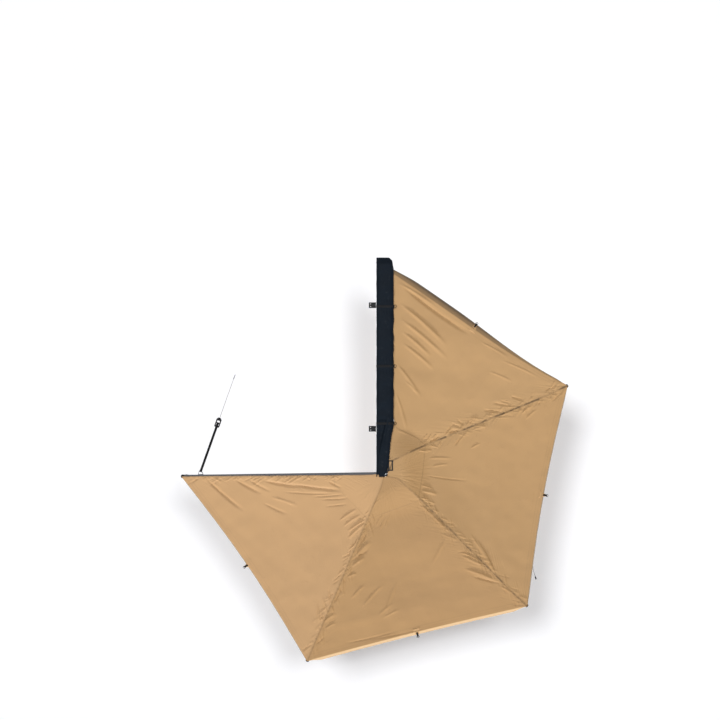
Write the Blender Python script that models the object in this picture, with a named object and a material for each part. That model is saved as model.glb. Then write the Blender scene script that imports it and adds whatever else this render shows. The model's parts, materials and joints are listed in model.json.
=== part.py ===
"""Four-arm swing-out side awning, deployed, as separate named pieces.

Frame: metres, +Z up, +X outwards from the rail, +Y along it to the front. The origin is on the flat back face
of the mounting rail, at its mid-length and mid-height. The four arms share one vertical pivot at the rail's
rear end, with their knuckles stacked on it, so that they swing together above each other along the rail.
"""

from math import atan2, cos, degrees, hypot, pi, radians, sin, sqrt

import bpy
import numpy as np
from mathutils import Matrix, Vector

for old in list(bpy.data.objects):
    bpy.data.objects.remove(old, do_unlink=True)

# Clearance between pieces that touch
SEAT = 0.0003

# Rail and its end caps
RAIL_LENGTH = 2.180
RAIL_HEIGHT = 0.150
RAIL_DEPTH = 0.022
RAIL_WALL = 0.004
CHAMBER_HEIGHT = 0.056
SLOT_RISE = 0.046  # height of the T-slots above and below the middle
SLOT_MOUTH = 0.009
SLOT_CAVITY = 0.017
SLOT_LIP = 0.003
SLOT_DEPTH = 0.0095
GROOVE_X = 0.0075  # cover groove, in the rail's top and bottom
GROOVE_WIDTH = 0.0030
GROOVE_DEPTH = 0.008
END_CAP = 0.006

# Mount brackets
BRACKET_SPACING = 1.300
BRACKET_WIDTH = 0.060
BRACKET_THICKNESS = 0.005
BRACKET_FOOT = 0.075
BOLT_RADIUS = 0.004
BOLT_HEAD = 0.006

# Pivot: knuckles of the arms stacked on one bolt
HUB_X = 0.0924
HUB_BEHIND = 0.026  # behind the rail's rear end
PIN_RADIUS = 0.008
EYE_RADIUS = 0.019
EYE_HEIGHT = 0.032
THRUST_FACE = 0.0015  # raised face of a knuckle, on which the next one turns
HUB_PLATE = 0.005
HUB_WEB = 0.008
HUB_WEB_LENGTH = 0.128
NUT_HEIGHT = 0.012
LOOP_THICKNESS = 0.004
LOOP_RISE = 0.0065  # underside of the loop above the hub plate, room for the canopy
LOOP_SIZE = (0.052, 0.110)
LOOP_BAR = 0.013

# Arms
ARM_LENGTH = 2.137
REAR_ARM_SHORTER = 0.085
ARM_AZIMUTHS = (64.4, 133.0, 202.5, 269.2)  # clockwise from forward, seen from above
CHANNEL_WIDTH = 0.030
CHANNEL_WALL = 0.002
CHANNEL_START = 0.045
LEVEL_MARGIN = 0.001
NECK_END = 0.095
CROSS_BOLT = 0.0025
TIP_LENGTH = 0.036
TIP_CHEEK = 0.0025
TIP_CHEEK_LENGTH = 0.040
PIVOT_SETBACK = 0.018
PIVOT_PIN = 0.003

# Fold-down legs, which lie in the channels
LEG_RADIUS = 0.010
LEG_WALL = 0.0012
LEG_OUTER_LENGTH = 1.100
LUG_THICKNESS = 0.014
COLLAR_LENGTH = 0.050
COLLAR_SIDE = 0.0020
FOOT_RADIUS = 0.0118
FOOT_LENGTH = 0.030
CAM_LENGTH = 0.038
CAM_WIDTH = 0.014
CAM_AXLE = 0.0015

# Canopy
CANOPY_THICKNESS = 0.0016
CANOPY_SAG = 0.034
CANOPY_HOLE = 0.036
CANOPY_FLAT = 0.004  # flat strip past the arm's side, along each seam
PLATEAU_RADIUS = 0.200
SLOPE_RADIUS = 0.620
TIP_SHOWN = 0.012
FRONT_SETBACK = 0.015
CLAMP_HEIGHT = 0.014
CLAMP_DEPTH = 0.012
CLAMP_GRIP = 0.006
VALANCE_DROP = 0.062
TAB_WIDTH = 0.025
TAB_LENGTH = 0.085

# Cover
COVER_THICKNESS = 0.0024
COVER_WIDTH = 0.1827
COVER_CROWN = 0.017  # above the end of the pivot bolt
COVER_OVERHANG = 0.054  # past the rail's front end
COVER_LIP = 0.074
COVER_DROP = 0.125
STRAP_WIDTH = 0.025
STRAP_THICKNESS = 0.0016
STRAP_PLACES = (0.635, 0.010, -0.590)
STRAP_CLEAR = 0.030  # the cover keeps its section this far to both sides of a strap
RING_RADIUS = 0.0022
RING_SIZE = (0.024, 0.032)
SLIDER_SIZE = (0.011, 0.030, 0.009)

# Tie-down on the left arm and guy line at the rear right edge
ANCHOR_FROM_TIP = 0.207
ANCHOR_OUT = 0.048
TIE_LENGTH = 1.0985  # from the anchor's bar to the middle of the hook's bend
TIE_HEADING = 71.03
TIE_FALL = 14.24
WEBBING_LENGTH = 0.505
BUCKLE_LENGTH = 0.105
BUCKLE_WIDTH = 0.055
TIE_CORD = 0.005
HOOK_WIRE = 0.0035
HOOK_BEND = 0.017
GUY_CORD = 0.004

# Places that follow from the sizes
RAIL_TOP = RAIL_HEIGHT / 2
RAIL_END = RAIL_LENGTH / 2
HUB_Y = -(RAIL_END + HUB_BEHIND)
PITCH = EYE_HEIGHT + THRUST_FACE + SEAT
STACK = 4 * PITCH + THRUST_FACE + SEAT
CHANNEL_TOP = EYE_HEIGHT - LEVEL_MARGIN
HUB_TOP = STACK / 2 + HUB_PLATE
PLATEAU = HUB_TOP + SEAT
LOOP_LOW = HUB_TOP + LOOP_RISE
NUT_LOW = LOOP_LOW + LOOP_THICKNESS + SEAT
PIN_END = NUT_LOW + NUT_HEIGHT + 0.003
CROWN = PIN_END + COVER_CROWN
ARM_LENGTHS = (ARM_LENGTH, ARM_LENGTH - REAR_ARM_SHORTER, ARM_LENGTH, ARM_LENGTH)
INNER_HALF = CHANNEL_WIDTH / 2 - CHANNEL_WALL
LEG_BORE = LEG_RADIUS - LEG_WALL
COLLAR_HALF = LEG_RADIUS + 0.0014
LEG_AXIS = CHANNEL_TOP - CHANNEL_WALL - COLLAR_HALF - 2 * SEAT
TIP_HALF = CHANNEL_WIDTH / 2 + SEAT + TIP_CHEEK
CLAMP_X = RAIL_DEPTH + SEAT
CLAMP_MID = RAIL_TOP - CLAMP_HEIGHT / 2 - 0.002
LUG_END = 0.024
PLUG_END = 0.044
LEG_END = LEG_OUTER_LENGTH + COLLAR_LENGTH / 2


def level(arm):
    """Height of the underside of an arm's knuckle. The front right arm is lowest."""
    return -STACK / 2 + THRUST_FACE + SEAT + arm * PITCH


# Shapes: each function gives (points, faces) of one closed body


def prism(outline, low, high, axis="Z"):
    """A flat outline, given anticlockwise about the axis, extruded from low to high along it."""
    turn = {"Z": lambda a, b, c: (a, b, c), "X": lambda a, b, c: (c, a, b), "Y": lambda a, b, c: (b, c, a)}[axis]
    n = len(outline)
    points = [turn(a, b, c) for c in (low, high) for a, b in outline]
    faces = [tuple(reversed(range(n))), tuple(range(n, 2 * n))]
    faces += [(i, (i + 1) % n, n + (i + 1) % n, n + i) for i in range(n)]
    return points, faces


def block(low, high):
    x0, y0, z0 = low
    x1, y1, z1 = high
    return prism([(x0, y0), (x1, y0), (x1, y1), (x0, y1)], z0, z1)


def circle(radius, sides, centre=(0.0, 0.0), start=0.0):
    return [
        (centre[0] + radius * cos(start + 2 * pi * i / sides), centre[1] + radius * sin(start + 2 * pi * i / sides))
        for i in range(sides)
    ]


def turned(profile, sides, axis="Z", centre=(0.0, 0.0, 0.0), ring=False):
    """A profile of (radius, height), from the axis up its outer side and back to the axis, or a closed ring."""
    shift = {"Z": 0, "X": 1, "Y": 2}[axis]
    points, faces, rows = [], [], []

    def add(a, b, c):
        moved = (a, b, c)[-shift:] + (a, b, c)[:-shift] if shift else (a, b, c)
        points.append(tuple(m + o for m, o in zip(moved, centre)))
        return len(points) - 1

    for radius, height in profile:
        if radius == 0:
            rows.append([add(0.0, 0.0, height)])
        else:
            rows.append([add(radius * cos(2 * pi * i / sides), radius * sin(2 * pi * i / sides), height) for i in range(sides)])
    pairs = list(zip(rows, rows[1:])) + ([(rows[-1], rows[0])] if ring else [])
    for below, above in pairs:
        for i in range(sides):
            j = (i + 1) % sides
            if len(below) == 1:
                faces.append((below[0], above[j], above[i]))
            elif len(above) == 1:
                faces.append((below[i], below[j], above[0]))
            else:
                faces.append((below[i], below[j], above[j], above[i]))
    return points, faces


def framed(outer, inner, low, high):
    """A flat plate between two outlines with as many points each, both anticlockwise."""
    n = len(outer)
    points = [(a, b, c) for c in (low, high) for ring in (outer, inner) for a, b in ring]
    faces = []
    for i in range(n):
        j = (i + 1) % n
        faces.append((i, n + i, n + j, j))
        faces.append((2 * n + i, 2 * n + j, 3 * n + j, 3 * n + i))
        faces.append((i, j, 2 * n + j, 2 * n + i))
        faces.append((n + j, n + i, 3 * n + i, 3 * n + j))
    return points, faces


def band(line, thickness, low, high):
    """A strip that follows a line of (x, z) with its middle, from low to high in y."""
    line = [Vector(p) for p in line]
    sides = []
    for i, p in enumerate(line):
        before = (p - line[i - 1]).normalized() if i else (line[1] - p).normalized()
        after = (line[i + 1] - p).normalized() if i + 1 < len(line) else before
        normal = Vector((-before.y - after.y, before.x + after.x)).normalized()
        reach = thickness / 2 / max(0.4, normal.dot(Vector((-before.y, before.x))))
        sides.append((p + normal * reach, p - normal * reach))
    points = [(q.x, y, q.y) for pair in sides for q in pair for y in (low, high)]
    faces = [(0, 1, 3, 2)]
    for i in range(len(line) - 1):
        a, b = 4 * i, 4 * i + 4
        faces += [(a, b, b + 1, a + 1), (a + 2, a + 3, b + 3, b + 2), (a, a + 2, b + 2, b), (a + 1, b + 1, b + 3, a + 3)]
    last = 4 * (len(line) - 1)
    faces.append((last, last + 2, last + 3, last + 1))
    return points, faces


def wire(path, radius, sides, closed=False):
    """A round bar along points that lie in one plane."""
    path = [Vector(p) for p in path]
    n = len(path)
    across = None
    for i in range(n - 2):
        across = (path[i + 1] - path[i]).cross(path[i + 2] - path[i + 1])
        if across.length > 1e-9:
            break
    across.normalize()
    points, faces = [], []
    for i, p in enumerate(path):
        before = (p - path[i - 1]).normalized() if i or closed else (path[1] - p).normalized()
        after = (path[(i + 1) % n] - p).normalized() if i + 1 < n or closed else before
        out = across.cross(before + after).normalized()
        reach = radius / max(0.5, out.dot(across.cross(before).normalized()))
        for k in range(sides):
            angle = 2 * pi * k / sides
            points.append(p + out * cos(angle) * reach + across * sin(angle) * radius)
    for i in range(n if closed else n - 1):
        a, b = i * sides, (i + 1) % n * sides
        faces += [(a + k, a + (k + 1) % sides, b + (k + 1) % sides, b + k) for k in range(sides)]
    if not closed:
        faces += [tuple(reversed(range(sides))), tuple((n - 1) * sides + k for k in range(sides))]
    return [tuple(p) for p in points], faces


def sheet(base, top):
    """A closed sheet between two grids of points of the same size."""
    rows, columns = len(base), len(base[0])
    points = [p for grid in (base, top) for row in grid for p in row]
    above = rows * columns
    faces = []
    for i in range(rows - 1):
        for j in range(columns - 1):
            a = i * columns + j
            faces.append((a, a + columns, a + columns + 1, a + 1))
            faces.append((above + a, above + a + 1, above + a + columns + 1, above + a + columns))
    rim = [j for j in range(columns)]
    rim += [i * columns + columns - 1 for i in range(1, rows)]
    rim += [(rows - 1) * columns + j for j in range(columns - 2, -1, -1)]
    rim += [i * columns for i in range(rows - 2, 0, -1)]
    faces += [(a, b, above + b, above + a) for a, b in zip(rim, rim[1:] + rim[:1])]
    return points, faces


def facing_out(body):
    """The body with its faces turned outwards."""
    points, faces = body
    volume = 0.0
    for face in faces:
        for i in range(1, len(face) - 1):
            a, b, c = (Vector(points[k]) for k in (face[0], face[i], face[i + 1]))
            volume += a.dot(b.cross(c))
    return (points, faces) if volume > 0 else (points, [f[::-1] for f in faces])


# Objects


def mesh_of(name, *bodies):
    points, faces = [], []
    for some, ring in bodies:
        faces += [tuple(len(points) + i for i in face) for face in ring]
        points += [tuple(p) for p in some]
    mesh = bpy.data.meshes.new(name)
    mesh.from_pydata(points, [], faces)
    mesh.update()
    return mesh


def formed(start, *steps):
    """The first body with others united to it ("UNION", body) or cut from it ("DIFFERENCE", body)."""
    target = bpy.data.objects.new("forming", mesh_of("forming", start))
    bpy.context.scene.collection.objects.link(target)
    tools = []
    for operation, body in steps:
        tool = bpy.data.objects.new("tool", mesh_of("tool", body))
        bpy.context.scene.collection.objects.link(tool)
        tool.hide_render = True
        tool.display_type = "WIRE"
        tools.append(tool)
        change = target.modifiers.new(operation.title(), "BOOLEAN")
        change.operation = operation
        change.solver = "EXACT"
        change.object = tool
    shown = target.evaluated_get(bpy.context.evaluated_depsgraph_get())
    mesh = bpy.data.meshes.new_from_object(shown)
    points = [tuple(v.co) for v in mesh.vertices]
    faces = [tuple(p.vertices) for p in mesh.polygons]
    bpy.data.meshes.remove(mesh)
    for tool in tools + [target]:
        bpy.data.objects.remove(tool, do_unlink=True)
    return points, faces


def look(name, colour, roughness, metallic=0.0):
    material = bpy.data.materials.get(name) or bpy.data.materials.new(name)
    material.use_nodes = True
    shader = material.node_tree.nodes["Principled BSDF"]
    shader.inputs["Base Color"].default_value = (*colour, 1.0)
    shader.inputs["Roughness"].default_value = roughness
    shader.inputs["Metallic"].default_value = metallic
    return material


def frame_at(name, place, turn=None, parent=None):
    """An empty that carries a moving group: it stands on the group's joint."""
    empty = bpy.data.objects.new(name, None)
    empty.empty_display_size = 0.05
    bpy.context.scene.collection.objects.link(empty)
    empty.parent = parent
    empty.matrix_local = Matrix.Translation(place) @ (turn or Matrix.Identity(4))
    return empty


def piece(name, colour, roughness, metallic, *bodies, parent=None, smooth=35):
    mesh = mesh_of(name, *bodies)
    item = bpy.data.objects.new(name, mesh)
    bpy.context.scene.collection.objects.link(item)
    item.parent = parent
    mesh.materials.append(look("look_" + name, colour, roughness, metallic))
    mesh.shade_smooth()
    mesh.set_sharp_from_angle(angle=radians(smooth))
    return item


ALUMINIUM = ((0.56, 0.56, 0.56), 0.38, 0.9)
STEEL = ((0.40, 0.41, 0.43), 0.35, 1.0)
BLACK_STEEL = ((0.020, 0.021, 0.024), 0.45, 0.6)
BLACK_PLASTIC = ((0.022, 0.022, 0.025), 0.55, 0.0)
RUBBER = ((0.018, 0.018, 0.018), 0.85, 0.0)
TAN = ((0.52, 0.35, 0.18), 0.85, 0.0)
NAVY = ((0.016, 0.023, 0.034), 0.8, 0.0)
WEBBING = ((0.02, 0.02, 0.022), 0.9, 0.0)
GREY_CORD = ((0.42, 0.42, 0.40), 0.8, 0.0)


# Rail, end caps and brackets


def slot_outline(z, way):
    """Points of a rear T-slot about height z, going up the back face (way 1) or down it (-1)."""
    mouth, cavity = way * SLOT_MOUTH / 2, way * SLOT_CAVITY / 2
    return [
        (0.0, z - mouth), (SLOT_LIP, z - mouth), (SLOT_LIP, z - cavity), (SLOT_DEPTH, z - cavity),
        (SLOT_DEPTH, z + cavity), (SLOT_LIP, z + cavity), (SLOT_LIP, z + mouth), (0.0, z + mouth),
    ]  # fmt: skip


def groove_outline(z, way):
    """Points of a cover groove in the face at height z, going outwards (way 1) or inwards (-1)."""
    half = way * GROOVE_WIDTH / 2
    floor = z - GROOVE_DEPTH * (1 if z > 0 else -1)
    return [(GROOVE_X - half, z), (GROOVE_X - half, floor), (GROOVE_X + half, floor), (GROOVE_X + half, z)]


rail_outline = [(0.0, RAIL_TOP)] + groove_outline(RAIL_TOP, 1) + [(RAIL_DEPTH, RAIL_TOP), (RAIL_DEPTH, -RAIL_TOP)]
rail_outline += groove_outline(-RAIL_TOP, -1) + [(0.0, -RAIL_TOP)]
rail_outline += slot_outline(-SLOT_RISE, 1) + slot_outline(SLOT_RISE, 1)
along = [(z, x) for x, z in reversed(rail_outline)]
along = along if sum(a[0] * b[1] - b[0] * a[1] for a, b in zip(along, along[1:] + along[:1])) > 0 else along[::-1]
chamber = block((RAIL_WALL, -RAIL_END - 0.01, -CHAMBER_HEIGHT / 2), (RAIL_DEPTH - RAIL_WALL, RAIL_END + 0.01, CHAMBER_HEIGHT / 2))
WEB_FRONT = -RAIL_END + HUB_WEB_LENGTH
hub_bolt_places = [(-RAIL_END + 0.030, z) for z in (-SLOT_RISE - 0.004, SLOT_RISE + 0.004)]
hub_bolt_places += [(WEB_FRONT - 0.030, z) for z in (-SLOT_RISE - 0.004, SLOT_RISE + 0.004)]
BOLT_INTO_RAIL = 0.008


def cross_hole(radius, x0, x1, y, z, sides=12):
    """A cutter along X."""
    return turned([(0, x0), (radius, x0), (radius, x1), (0, x1)], sides, "X", (0, y, z))


piece(
    "back_rail", *ALUMINIUM,
    formed(
        prism(along, -RAIL_END, RAIL_END, "Y"),
        ("DIFFERENCE", chamber),
        *[("DIFFERENCE", cross_hole(BOLT_RADIUS + SEAT, RAIL_DEPTH - BOLT_INTO_RAIL - SEAT, RAIL_DEPTH + 0.01, y, z)) for y, z in hub_bolt_places],
    ),
)  # fmt: skip


def end_cap(side):
    y = side * (RAIL_END + SEAT)
    low, high = min(y, y + side * END_CAP), max(y, y + side * END_CAP)
    r = 0.004
    z, x = RAIL_TOP + 0.001, RAIL_DEPTH
    outline = [(-z + r, 0.0), (z - r, 0.0), (z, r), (z, x - r), (z - r, x), (-z + r, x), (-z, x - r), (-z, r)]
    cap = prism(outline, low, high, "Y")
    plug_half, plug = CHAMBER_HEIGHT / 2 - SEAT, side * -0.018
    inner = sorted((y + side * END_CAP / 2, y + plug))
    return formed(cap, ("UNION", block((RAIL_WALL + SEAT, inner[0], -plug_half), (RAIL_DEPTH - RAIL_WALL - SEAT, inner[1], plug_half))))


piece("rail_end_cap_front", *BLACK_PLASTIC, end_cap(1))
piece("rail_end_cap_rear", *BLACK_PLASTIC, end_cap(-1))

# Each bracket hooks into the rail's upper slot and is bolted at its lower one.
BRACKET_LOW = -SLOT_RISE - 0.018
BACK, FRONT = -SEAT - BRACKET_THICKNESS, -SEAT
LIP_LOW, LIP_HIGH = SLOT_RISE - SLOT_MOUTH / 2 + SEAT, SLOT_RISE + SLOT_MOUTH / 2 - SEAT
bracket_outline = [
    (BRACKET_LOW, -SEAT - BRACKET_FOOT), (BRACKET_LOW + BRACKET_THICKNESS, -SEAT - BRACKET_FOOT),
    (BRACKET_LOW + BRACKET_THICKNESS, BACK - 0.004), (BRACKET_LOW + BRACKET_THICKNESS + 0.004, BACK),
    (LIP_HIGH, BACK), (LIP_HIGH, SLOT_LIP + SEAT), (SLOT_RISE + SLOT_CAVITY / 2 - SEAT, SLOT_LIP + SEAT),
    (SLOT_RISE + SLOT_CAVITY / 2 - SEAT, SLOT_DEPTH - SEAT), (LIP_LOW, SLOT_DEPTH - SEAT),
    (LIP_LOW, FRONT), (BRACKET_LOW, FRONT),
]  # fmt: skip


def foot_hole(y):
    low, high = BRACKET_LOW - 0.01, BRACKET_LOW + 0.02
    return turned([(0, low), (0.0045, low), (0.0045, high), (0, high)], 12, "Z", (-SEAT - BRACKET_FOOT * 0.75, y, 0))


for place, side in (("front", 1), ("rear", -1)):
    middle = side * BRACKET_SPACING / 2
    cuts = [("DIFFERENCE", cross_hole(BOLT_RADIUS + SEAT, BACK - 0.01, 0.01, middle, -SLOT_RISE))]
    cuts += [("DIFFERENCE", foot_hole(middle + y)) for y in (-0.014, 0.014)]
    body = facing_out(prism(bracket_outline, middle - BRACKET_WIDTH / 2, middle + BRACKET_WIDTH / 2, "Y"))
    piece("mount_bracket_" + place, *BLACK_STEEL, formed(body, *cuts))
    half = SLOT_CAVITY / 2 - SEAT
    head = block((SLOT_LIP + SEAT, middle - half, -SLOT_RISE - half), (SLOT_DEPTH - SEAT, middle + half, -SLOT_RISE + half))
    shank = cross_hole(BOLT_RADIUS, BACK - BOLT_HEAD - 0.005, SLOT_LIP + SEAT + 0.002, middle, -SLOT_RISE)
    nut = prism(circle(BOLT_RADIUS * 1.9, 6, (middle, -SLOT_RISE)), BACK - SEAT - BOLT_HEAD, BACK - SEAT, "X")
    piece("mount_bolt_" + place, *STEEL, formed(head, ("UNION", shank), ("UNION", nut)))

# Pivot

WEB_X = RAIL_DEPTH + SEAT
plate_outline = [(WEB_X, -RAIL_END), (HUB_X - 0.030, HUB_Y - 0.020)]
plate_outline += [(HUB_X + 0.027 * cos(a), HUB_Y + 0.027 * sin(a)) for a in (radians(d) for d in range(-120, 31, 25))]
plate_outline += [(WEB_X + 0.030, WEB_FRONT), (WEB_X, WEB_FRONT)]
hub_bore = turned([(0, -STACK), (PIN_RADIUS + SEAT, -STACK), (PIN_RADIUS + SEAT, STACK), (0, STACK)], 24, "Z", (HUB_X, HUB_Y, 0))
web = block((WEB_X, -RAIL_END, -STACK / 2 - 0.002), (WEB_X + HUB_WEB, WEB_FRONT, STACK / 2 + 0.002))
lower_boss = prism(circle(EYE_RADIUS - 0.002, 24, (HUB_X, HUB_Y)), -STACK / 2 - 0.002, -STACK / 2 + THRUST_FACE)


def hub_stud(y, z):
    """A stud of the pivot bracket in the rail, headed on the bracket's outer face."""
    face = WEB_X + HUB_WEB
    profile = [(0, RAIL_DEPTH - BOLT_INTO_RAIL), (BOLT_RADIUS, RAIL_DEPTH - BOLT_INTO_RAIL), (BOLT_RADIUS, face - 0.001)]
    profile += [(BOLT_RADIUS * 1.7, face - 0.001), (BOLT_RADIUS * 1.7, face + BOLT_HEAD), (0, face + BOLT_HEAD)]
    return turned(profile, 12, "X", (0, y, z))


piece(
    "hub_bracket", *BLACK_STEEL,
    formed(
        prism(plate_outline, STACK / 2, STACK / 2 + HUB_PLATE),
        ("UNION", web),
        ("UNION", prism(plate_outline, -STACK / 2 - HUB_PLATE, -STACK / 2)),
        ("UNION", lower_boss),
        ("DIFFERENCE", hub_bore),
        *[("UNION", hub_stud(y, z)) for y, z in hub_bolt_places],
    ),
)  # fmt: skip

pin_low = -STACK / 2 - HUB_PLATE - SEAT
pin_profile = [(0, pin_low - 0.010), (0.0135, pin_low - 0.010), (0.0135, pin_low), (PIN_RADIUS, pin_low), (PIN_RADIUS, PIN_END), (0, PIN_END)]
piece("hub_pin", *STEEL, turned(pin_profile, 24, "Z", (HUB_X, HUB_Y, 0)))
hexagon = [
    (HUB_X + r * cos(radians(15 * i)), HUB_Y + r * sin(radians(15 * i)))
    for i in range(24)
    for r in [0.0130 / cos(radians((15 * i + 30) % 60 - 30))]
]
piece("hub_nut", *STEEL, framed(hexagon, circle(PIN_RADIUS + SEAT, 24, (HUB_X, HUB_Y)), NUT_LOW, NUT_LOW + NUT_HEIGHT))

# The loop lies above the canopy on a boss under the pivot nut.
loop_middle = Vector((HUB_X + 0.0596, HUB_Y + 0.085))
half_x, half_y = LOOP_SIZE[0] / 2, LOOP_SIZE[1] / 2
outer = [(loop_middle.x + sx * half_x, loop_middle.y + sy * half_y) for sx, sy in ((-1, -1), (1, -1), (1, 1), (-1, 1))]
inner = [(loop_middle.x + sx * (half_x - LOOP_BAR), loop_middle.y + sy * (half_y - LOOP_BAR)) for sx, sy in ((-1, -1), (1, -1), (1, 1), (-1, 1))]
boss = turned([(0, HUB_TOP + SEAT), (0.017, HUB_TOP + SEAT), (0.017, LOOP_LOW + LOOP_THICKNESS), (0, LOOP_LOW + LOOP_THICKNESS)], 24, "Z", (HUB_X, HUB_Y, 0))
reach = Vector((outer[0][0] + LOOP_BAR * 0.7, outer[0][1] + LOOP_BAR * 0.7)) - Vector((HUB_X, HUB_Y))
side = Vector((-reach.y, reach.x)).normalized() * 0.009
arm_line = [Vector((HUB_X, HUB_Y)) - side, Vector((HUB_X, HUB_Y)) + reach - side, Vector((HUB_X, HUB_Y)) + reach + side, Vector((HUB_X, HUB_Y)) + side]
loop_low = LOOP_LOW + 0.0002
piece(
    "hub_loop", *BLACK_STEEL,
    formed(
        framed(outer, inner, LOOP_LOW, LOOP_LOW + LOOP_THICKNESS),
        ("UNION", prism([tuple(p) for p in arm_line], loop_low, LOOP_LOW + LOOP_THICKNESS - 0.0002)),
        ("UNION", boss),
        ("DIFFERENCE", turned([(0, HUB_TOP - 0.01), (PIN_RADIUS + SEAT, HUB_TOP - 0.01), (PIN_RADIUS + SEAT, NUT_LOW + 0.01), (0, NUT_LOW + 0.01)], 24, "Z", (HUB_X, HUB_Y, 0))),
    ),
)  # fmt: skip

# Arms and their legs


def along_y(profile, sides, x, z):
    """Turned about a line parallel to Y through (x, z)."""
    return turned(profile, sides, "Y", (x, 0, z))


def headed(shank, half, head, thick):
    """Profile of a pin with a head at both ends."""
    return [(0, -half - thick), (head, -half - thick), (head, -half), (shank, -half), (shank, half), (head, half), (head, half + thick), (0, half + thick)]


def hole(radius, x, z, sides=8):
    return along_y([(0, -0.1), (radius, -0.1), (radius, 0.1), (0, 0.1)], sides, x, z)


def leg_turned(profile, sides=16):
    """Turned about the leg's own axis, with distance from its pivot running towards -X."""
    points, faces = turned([(r, -u) for r, u in reversed(profile)], sides, "X")
    return points, faces


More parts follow.
